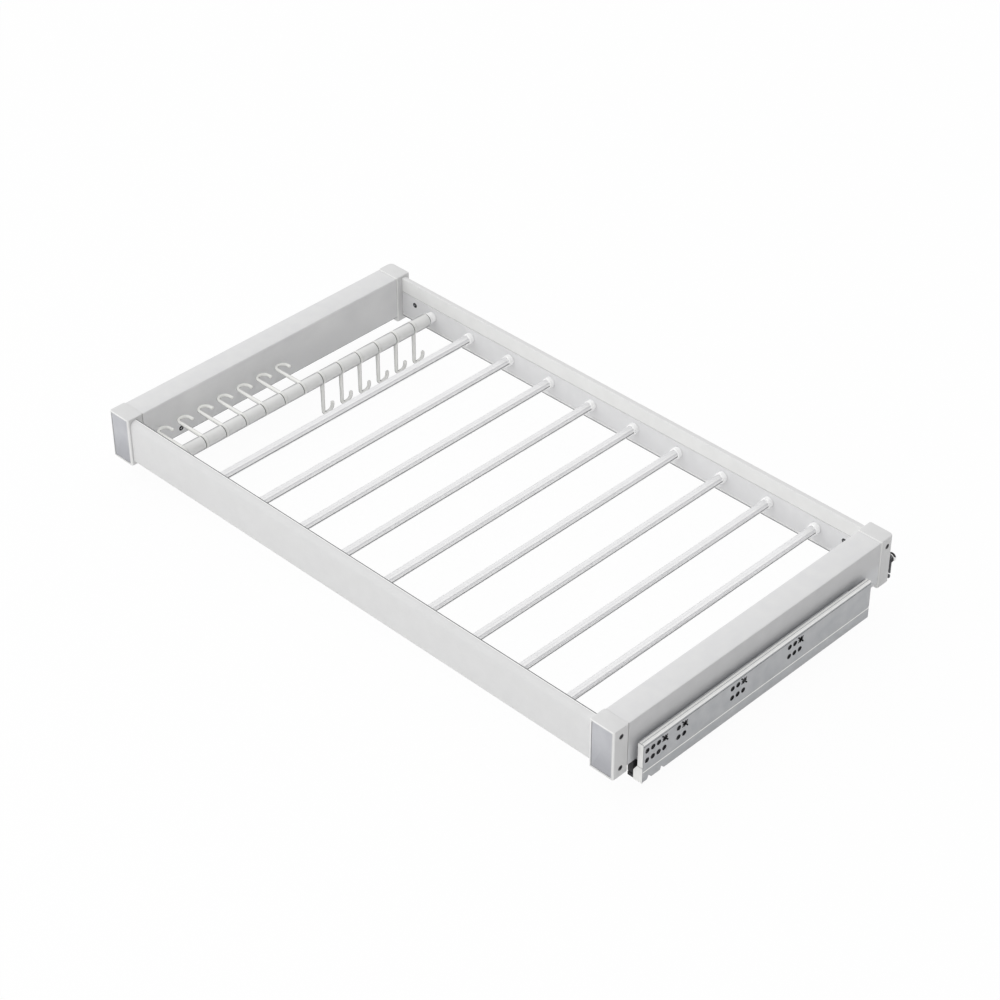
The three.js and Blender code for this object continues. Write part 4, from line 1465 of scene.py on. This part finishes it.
@dataclass
class Slides:
    """The two telescopic slides with their cages, balls and catches.

    Depths are measured in from the wall. A group of holes is its share of the slide's
    length and its numbers of holes in the lower and the upper row. A star's arm is its
    angle, length and width. A notch is its share of the length and its lead. The middle
    member's depths are its tip's, its web's and its end's, and its plug is measured from the
    slide's front. The catch's slit is its height, width and length.
    """

    face: float = 445
    sheet: float = 1.2
    bend: float = 1.0
    front: float = -211.4
    back: float = 188.6
    top: float = 38.4
    bottom: float = -17.4
    runner_bottom: float = 3.2
    flange: float = 8
    lip: float = 2
    foot: float = 13
    bead_height: float = -1
    bead_width: float = 4.8
    bead_depth: float = 0.8
    bead_slope: float = 1.7
    line: Span = (34.9, 35.7)
    line_depth: float = 0.35
    crease: Span = (3.6, 4.4)
    crease_depth: float = 0.25
    cabinet_top: float = 37.2
    cabinet_bottom: float = 4.4
    hole_radius: float = 3.5
    star_radius: float = 2.7
    star_shift: float = 0.8
    row_low: float = 13.4
    row_high: float = 27.2
    row_pitch: float = 9.5
    groups: tuple[tuple[float, int, int], ...] = (
        (0.018, 4, 3), (0.148, 2, 1), (0.376, 3, 2), (0.627, 3, 2))
    stars: tuple[tuple[float, float, float], ...] = (
        (-47, 15.5, 2.2), (-5, 8.6, 1.9), (38, 11, 2.2), (82, 8.6, 1.9))
    notches: tuple[Span, ...] = ((0.029, 8), (0.081, 4.8))
    notch_height: float = 6
    notch_half: float = 0.8
    notch_tail: float = 7.2
    tab_top: float = -3.8
    tab_inset: float = 0.04
    inner_front: float = 6.5
    middle_heights: Span = (6.9, 34.7)
    middle_depths: tuple[float, float, float] = (2.25, 4.55, 11.9)
    middle_short: float = 30
    middle_edge: float = 0.3
    plug: Span = (0.6, 7.7)
    end_plate_depths: Span = (0.4, 7.7)
    end_plate_heights: Span = (4.7, 38.0)
    end_plate_edge: float = 0.35
    frame_web: float = 12.4
    frame_foot: float = 7.5
    frame_heights: Span = (6.4, 31.0)
    frame_length: float = 400
    frame_lip: Span = (8.0, 13.2)
    frame_ledge: float = 10.6
    frame_edge: float = 0.25
    catch_chamfer: float = 6
    catch_edge: float = 0.4
    catch_slit: tuple[float, float, float] = (5, 1.3, 27)
    ball: float = 0.95
    balls_each: int = 6
    ball_rows: tuple[tuple[str, Span], ...] = (("outer", (35.95, 5.65)), ("inner", (32.25, 9.35)))

    def build(self) -> None:
        """Make both slides."""
        for name, side in SIDES.items():
            dress(self.cabinet_member(side), f"cabinet_rail_{name}",
                  (ZINC, STEEL_PAINTED_HIGHLIGHT, ZINC_GROOVE_SHADE, GAP_AND_HOLE_SHADE), "cabinet_sides", "zinc",
                  f"slide_cabinet_member_{name}")
            dress(self.middle_member(side), f"middle_rail_{name}", (ZINC, DARK_ZINC_AND_SHADE),
                  f"middle_member_{name}", "zinc", f"slide_middle_member_{name}")
            # The end plate is all in the painted highlight.
            dress(self.end_plate(side), f"end_plate_{name}", [STEEL_PAINTED_HIGHLIGHT],
                  f"middle_member_{name}", "zinc")
            dress(self.frame_member(side), f"rack_rail_{name}", [ZINC], "rack", "zinc",
                  f"slide_frame_member_{name}")
            for kind, heights in self.ball_rows:
                self.cage(kind, heights, name, side)
            dress(self.catch(name), f"catch_{name}", [BLACK_PLASTIC], "rack", "black",
                  f"front_catch_{name}")

    def _points(self, side: int, pairs: Iterable[Span]) -> Outline:
        """Place points of the section, given by their depths and heights."""
        return [(side * (self.face - depth), height) for depth, height in pairs]

    def _block(self, side: int, depths: Span, ys: Span, heights: Span) -> Mould:
        """Build a box from depths, places along Y and heights."""
        xs = sorted(side * (self.face - depth) for depth in depths)
        return Mould().block((xs[0], ys[0], heights[0]), (xs[1], ys[1], heights[1]))

    def _along(self, share: float) -> float:
        """Return the place along Y at a share of the slide's length."""
        return self.front + share * (self.back - self.front)

    def cabinet_member(self, side: int) -> Mould:
        """Build the member that is screwed to the cabinet's wall.

        Args:
            side: 1 on the right, or -1.

        Returns:
            The member's mould.
        """
        mid, sheet, ends = self.sheet / 2, self.sheet, (self.front - 1, self.back + 1)
        member, runner = (
            Mould().folded(self._points(side, points), (self.front, self.back), sheet, self.bend)
            for points in (
                [(self.flange - mid, self.cabinet_top - self.lip),
                 (self.flange - mid, self.top - mid), (mid, self.top - mid),
                 (mid, self.bottom + mid), (self.foot, self.bottom + mid)],
                [(mid, self.runner_bottom + mid), (self.flange - mid, self.runner_bottom + mid),
                 (self.flange - mid, self.cabinet_bottom + self.lip)]))
        member.combined(runner, "UNION")
        member.combined(self._block(
            side, (-1, self.flange + 1), (self.front - 1, self.front + sheet + 0.3),
            (self.cabinet_bottom, self.top + 1)))
        member.combined(self._block(side, (-1, self.line_depth), ends, self.line))
        member.combined(self._block(side, self.crease, ends,
                                    (self.top - self.crease_depth, self.top + 1)))
        member.combined(Mould().prism(self._bead(side, -0.3, 0.5), Axis.Y, *ends))
        self._pierce(member, side)
        rib = Mould().prism(self._bead(side, sheet - 0.1, sheet + self.bead_depth),
                            Axis.Y, self.front + 2, self.back)
        inset, low = self.tab_inset, self.bottom + self.tab_inset
        tab = Mould().prism(self._points(side, [
            (inset, low), (self.foot, low), (self.foot, self.tab_top),
            (self.flange, self.cabinet_bottom), (inset, self.cabinet_bottom),
        ]), Axis.Y, self.front - 0.02, self.front + sheet)
        return self.painted_member(member.join(rib, tab), side)

    def _pierce(self, member: Mould, side: int) -> None:
        """Cut the round holes, the stars and the notches.

        Args:
            member: The member's mould.
            side: 1 on the right, or -1.
        """
        wall = side * self.face
        holes = Mould()
        for share, low, high in self.groups:
            for count, height in ((low, self.row_low), (high, self.row_high)):
                for i in range(count):
                    holes.rod(self.hole_radius, (-3, 3), Axis.X,
                              (wall, self._along(share) + i * self.row_pitch, height), 28)
        member.combined(holes)
        for share, _, high in self.groups:
            y = self._along(share) + high * self.row_pitch + self.star_shift
            centre = (wall, y, self.row_high)
            member.combined(Mould().rod(self.star_radius, (-3, 3), Axis.X, centre, 20))
            for angle, length, width in self.stars:
                half = (3, length / 2, width / 2)
                slot = Mould().block([-value for value in half], half).rotated(angle, Axis.X)
                member.combined(slot.moved(centre))
        for share, lead in self.notches:
            member.combined(self.notch(side, self._along(share), lead))

    def _bead(self, side: int, start: float, end: float) -> Outline:
        """List the section of the pressed bead between two depths."""
        low, high = (self.bead_height + way * self.bead_width / 2 for way in (-1, 1))
        return self._points(side, [(start, high), (end, high - self.bead_slope / 2),
                                   (end, low + self.bead_slope), (start, low)])

    def painted_member(self, member: Mould, side: int) -> Mould:
        """Paint highlights on the cabinet member's flange top, front end and lower bead slope, and
        shade on its upper bead slope, pressed line and hole walls.

        Args:
            member: The member's mould.
            side: 1 on the right, or -1.

        Returns:
            The same mould.
        """
        def depth(face: Face) -> float:
            """Return how far in from the wall a face lies."""
            return self.face - side * centre_of(face).x

        def height(face: Face) -> float:
            """Return how high a face lies."""
            return centre_of(face).z

        def on_bead(face: Face) -> bool:
            """Tell whether a face lies on the outside of the bead."""
            return (face.normal.x * side > 0
                    and abs(height(face) - self.bead_height) < self.bead_width / 2 + 0.3)

        low, high = self.line
        start, end = self.crease
        # Painted highlight on the flange top, with its crease back in plain zinc, on the front end
        # and on the bead's lower slope.
        member.painted(1, lambda face: face.normal.z > 0.25 and height(face) > self.top - 1.3)
        member.painted(0, lambda face: height(face) > self.top - 0.3
                       and start - 0.1 < depth(face) < end + 0.1)
        member.painted(1, lambda face: face.normal.y < -0.7
                       and centre_of(face).y < self.front + 0.1)
        member.painted(1, lambda face: face.normal.z > 0.15 and on_bead(face))
        # Painted shade on the bead's upper slope and in the pressed line.
        member.painted(2, lambda face: face.normal.z < -0.15 and on_bead(face))
        member.painted(2, lambda face: low - 0.05 < height(face) < high + 0.05
                       and 0.05 < depth(face) < self.line_depth + 0.05)
        # Painted shade on the walls of the holes.
        return member.painted(3, lambda face: abs(face.normal.x) < 0.5
                              and 0.05 < depth(face) < self.sheet - 0.05
                              and self.row_low - 4 < height(face) < low - 0.5
                              and self.front + 1 < centre_of(face).y < self.back - 1)

    def notch(self, side: int, peak: float, lead: float) -> Mould:
        """Build the cutter for one notch, steep at the front and gentle behind.

        Args:
            side: 1 on the right, or -1.
            peak: Where the notch is highest.
            lead: How far before that it starts.

        Returns:
            The cutter's mould.
        """
        low, top, half = self.bottom - 1, self.bottom + self.notch_height, self.notch_half
        shares = [i / 6 for i in range(7)]
        front = [(peak - lead + (lead - half) * share ** 0.6, low + (top - low) * share ** 1.7)
                 for share in shares]
        rear = [(peak + half + self.notch_tail * share ** 1.9, top - (top - low) * share)
                for share in shares]
        xs = sorted((side * (self.face + 1), side * (self.face - 4)))
        return Mould().prism([*front, *rear], Axis.X, *xs)

    def middle_member(self, side: int) -> Mould:
        """Build the member that runs between the other two, with its front plug.

        Args:
            side: 1 on the right, or -1.

        Returns:
            The member's mould.
        """
        sheet, lip = self.sheet, self.lip
        low, top = self.middle_heights
        tip, web, end = self.middle_depths
        outline = self._points(side, [
            (tip, top), (end, top), (end, top - sheet - lip), (end - sheet, top - sheet - lip),
            (end - sheet, top - sheet), (web + sheet, top - sheet), (web + sheet, low + sheet),
            (end - sheet, low + sheet), (end - sheet, low + sheet + lip),
            (end, low + sheet + lip), (end, low), (tip, low), (tip, low + sheet),
            (web, low + sheet), (web, top - sheet), (tip, top - sheet),
        ])
        body = Mould().prism(outline, Axis.Y, self.front + self.inner_front,
                             self.back - self.middle_short)
        body.bevelled(self.middle_edge, 2, where=runs_along(Axis.Y, 100))
        plug = self._block(side, (tip, web + sheet),
                           (self.front + self.plug[0], self.front + self.plug[1]), (low, top))
        # Painted shade on the web's outer side, seen through the holes.
        body.painted(1, lambda face: face.normal.x * side > 0.9)
        return body.join(plug.bevelled(self.middle_edge))

    def end_plate(self, side: int) -> Mould:
        """Build the plate across the middle member's front end."""
        return self._block(side, self.end_plate_depths, (self.front, self.front + self.sheet),
                           self.end_plate_heights).bevelled(self.end_plate_edge, 3)

    def frame_member(self, side: int) -> Mould:
        """Build the member that is screwed to the side beam.

        Args:
            side: 1 on the right, or -1.

        Returns:
            The member's mould.
        """
        mid, start = self.sheet / 2, self.front + self.inner_front
        web, ends = self.frame_web + mid, (start, start + self.frame_length)
        low, top = self.frame_heights
        member = Mould().folded(self._points(side, [
            (web + self.frame_foot, low), (web, low), (web, top - mid),
            (self.frame_lip[0], top - mid)]), ends, self.sheet, self.bend)
        lower = self._block(side, self.frame_lip, ends,
                            (self.frame_ledge, self.frame_ledge + self.sheet))
        return member.join(lower.bevelled(self.frame_edge))

    def cage(self, kind: str, heights: Span, name: str, side: int) -> None:
        """Dress one ball cage and give it round balls.

        Args:
            kind: Whether it is an outer or an inner one.
            heights: The heights of its two rows of balls.
            name: The side's name.
            side: 1 on the right, or -1.
        """
        node = f"ball_cage_{kind}_{name}"
        for slot in bpy.data.objects[node].material_slots:
            slot.material = CAGE_PLASTIC.material()
        low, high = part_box(node)
        depth = (self.face - max(abs(low.x), abs(high.x)) / MM,
                 self.face - min(abs(low.x), abs(high.x)) / MM)
        x = side * (self.face - sum(depth) / 2)
        length = (high.y - low.y) / MM
        centres = [(x, low.y / MM + length * (i + 1) / (self.balls_each + 1), z)
                   for i in range(self.balls_each) for z in heights]
        dress(Mould().balls(centres, self.ball), f"balls_{kind}_{name}", [BALL_STEEL],
              f"{kind}_cage_{name}", "cage", smoother=60)

    def catch(self, name: str) -> Mould:
        """Build the moulded catch with its lever slit.

        Args:
            name: The side's name.

        Returns:
            The catch's mould.
        """
        low, high = (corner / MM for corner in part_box(f"front_catch_{name}"))
        start, end, bottom, top = low.y, high.y, low.z, high.z
        chamfer, (lift, width, length) = self.catch_chamfer, self.catch_slit
        slit, tip = bottom + lift, start + length
        outline = [(start, bottom), (end - chamfer, bottom), (end, bottom + chamfer), (end, top),
                   (start, top), (start, slit + width), (tip, slit + width), (tip, slit),
                   (start, slit)]
        return Mould().prism(outline, Axis.X, low.x, high.x).bevelled(self.catch_edge, 3)


@dataclass
class RearBrackets:
    """The small black brackets and buffers behind the back blocks.

    The front disc's rim and slope end behind the plate, and the back disc's slope, rim and
    rounding start before the buffer's end.
    """

    plate: float = 1.8
    corner: float = 2.6
    edge: float = 0.3
    buffer_height: float = 29
    buffer_shift: float = 2.4
    hub_radius: float = 2.3
    buffer_radius: float = 5.8
    buffer_seat: float = 0.4
    front_disc: Span = (1.4, 2)
    back_disc: tuple[float, float, float] = (3, 2.4, 1.2)
    neck_radius: float = 4.4
    slit: Span = (6.5, 9.5)

    def build(self) -> None:
        """Make both brackets."""
        for name, side in SIDES.items():
            node = f"rear_bracket_{name}"
            dress(self.bracket(node, side), f"bracket_{name}",
                  (BLACK_PLASTIC, WHITE_CAP_GLOW, DARK_ZINC_AND_SHADE), "rack", "black", node)

    def bracket(self, node: str, side: int) -> Mould:
        """Build one bracket where its CAD node stands.

        Args:
            node: The bracket's CAD node.
            side: 1 on the right, or -1.

        Returns:
            The bracket's mould.
        """
        low, high = (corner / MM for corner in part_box(node))
        back, middle = low.y + self.plate, (low.x + high.x) / 2
        plate = Mould().block((low.x, low.y, low.z), (high.x, back, high.z))
        plate.bevelled(self.corner, 5, where=runs_along(Axis.Y, 1))
        plate.bevelled(self.edge, 2, 60)
        outer = sorted((side * 500, middle))
        plate.combined(Mould().block((outer[0], low.y - 1, self.slit[0]),
                                     (outer[1], back + 1, self.slit[1])))
        plate.painted(2, lambda face: True)
        wide, neck, seat, end = self.buffer_radius, self.neck_radius, self.buffer_seat, high.y
        (rim, start), (stop, brim, curve) = self.front_disc, self.back_disc
        knob = [(0, low.y + seat), (wide, low.y + seat), (wide, back + rim), (neck, back + start),
                (neck, end - stop), (wide, end - brim), (wide, end - curve), (wide - curve, end),
                (0, end)]
        x = middle + side * self.buffer_shift
        buffer = Mould().turned(knob, Axis.Y, (x, 0, self.buffer_height), 36)
        # Painted highlight: a white band round the buffer's neck.
        buffer.painted(1, lambda face: back + start < centre_of(face).y < end - stop)
        # Painted highlight: a small white hub on the buffer's outer side.
        hub = Mould().rod(self.hub_radius, (0, side * (wide + seat)), Axis.X,
                          (x, (back + end) / 2, self.buffer_height), 24)
        return plate.join(buffer, hub.painted(1, lambda face: True))


@dataclass
class Studio:
    """The plain pale floor, the soft lamps, the world and the camera.

    A lamp is its name, its place in metres, its size and its power.
    """

    floor_height: float = -32
    floor_size: float = 9000
    floor_level: float = 0.94
    floor_glow: float = 0.95
    azimuth: float = 44.622
    elevation: float = 37.195
    roll: float = -0.12
    distance: float = 3199.03
    target: tuple[float, float, float] = (19.523, -1.392, 35.0)
    lens: float = 93.99
    sensor: float = 36
    clip: Span = (0.05, 60)
    ambient: float = 1.07
    dark_side: float = 0.83
    lamps: tuple[tuple[str, Point, float, float], ...] = (
        ("key", (-0.9, -1.5, 2.5), 1.8, 6), ("front", (-0.3, -2.6, 0.9), 1.6, 4))

    def build(self) -> None:
        """Set up everything round the rack."""
        self.floor()
        self.world()
        for lamp in self.lamps:
            self.lamp(*lamp)
        self.camera()
        bpy.context.scene.view_settings.view_transform = "Standard"

    def floor(self) -> None:
        """Lay a wide pale floor that keeps the rack's shadow."""
        plan = Mould()
        bmesh.ops.create_grid(plan.mesh, x_segments=2, y_segments=2, size=self.floor_size)
        ground = plan.moved((0, 0, self.floor_height)).object("floor")
        material = bpy.data.materials.new("studio_floor")
        material.use_nodes = True
        nodes, sheet = material.node_tree.nodes, NodeSheet(material.node_tree)
        level = self.floor_level
        sheet.feed(nodes["Principled BSDF"], {"Base Color": (level, level, level, 1),
                                              "Roughness": 0.9, "Specular IOR Level": 0.0})
        path = sheet.add("ShaderNodeLightPath")
        mix = sheet.add("ShaderNodeMixShader", {
            "Fac": sheet.math("MULTIPLY", path.outputs["Is Camera Ray"], self.floor_glow),
            1: nodes["Principled BSDF"].outputs["BSDF"],
            2: sheet.add("ShaderNodeEmission").outputs["Emission"]})
        sheet.feed(nodes["Material Output"], {"Surface": mix.outputs["Shader"]})
        ground.data.materials.append(material)

    def world(self) -> None:
        """Light the scene from all round, less from the right, with white behind it."""
        world = bpy.data.worlds.new("studio")
        bpy.context.scene.world = world
        world.use_nodes = True
        sheet = NodeSheet(world.node_tree)
        path = sheet.add("ShaderNodeLightPath").outputs
        seen = sheet.math("MAXIMUM", path["Is Camera Ray"], path["Is Glossy Ray"])
        seen = sheet.math("MAXIMUM", seen, path["Is Transmission Ray"])
        direction = sheet.add("ShaderNodeSeparateXYZ", {
            "Vector": sheet.add("ShaderNodeTexCoord").outputs["Generated"]})
        right = sheet.math("MAXIMUM", direction.outputs["X"], 0.0)
        loss = sheet.math("MULTIPLY", right, self.ambient * self.dark_side)
        level = sheet.math("SUBTRACT", self.ambient, loss)
        sheet.feed(world.node_tree.nodes["Background"], {
            "Color": (1, 1, 1, 1), "Strength": sheet.spread(seen, (0.0, 1.0), (level, 1.0))})

    def lamp(self, name: str, place: Point, size: float, power: float) -> None:
        """Hang one square lamp that faces the rack.

        Args:
            name: The lamp's name.
            place: Where it hangs, in metres.
            size: The length of its sides.
            power: Its power in watts.
        """
        light = bpy.data.lights.new(name, "AREA")
        light.size = size
        light.energy = power
        lamp = stood(name, light)
        lamp.location = place
        lamp.rotation_euler = (-Vector(place)).to_track_quat("-Z", "Y").to_euler()

    def camera(self) -> None:
        """Stand the camera at the photograph's viewpoint."""
        turn, rise = math.radians(self.azimuth), math.radians(self.elevation)
        back = Vector((math.sin(turn) * math.cos(rise), -math.cos(turn) * math.cos(rise),
                       math.sin(rise)))
        view = bpy.data.cameras.new("camera")
        view.sensor_width = self.sensor
        view.lens = self.lens
        view.clip_start, view.clip_end = self.clip
        camera = stood("camera", view)
        camera.matrix_world = (
            Matrix.Translation((Vector(self.target) + back * self.distance) * MM)
            @ (-back).to_track_quat("-Z", "Y").to_matrix().to_4x4()
            @ Matrix.Rotation(math.radians(self.roll), 4, "Z"))
        bpy.context.scene.camera = camera


def main() -> None:
    """Build every part of the rack in order, then the studio."""
    logging.basicConfig(level=logging.INFO, format="%(message)s")
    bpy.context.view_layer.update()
    parts = [CornerBlocks(), SideBeams(), Rails(), TrouserBars(), HookRow(), Slides(),
             RearBrackets(), Studio()]
    for part in parts:
        log.info("-- %s", type(part).__name__)
        part.build()


if __name__ == "__main__":
    main()
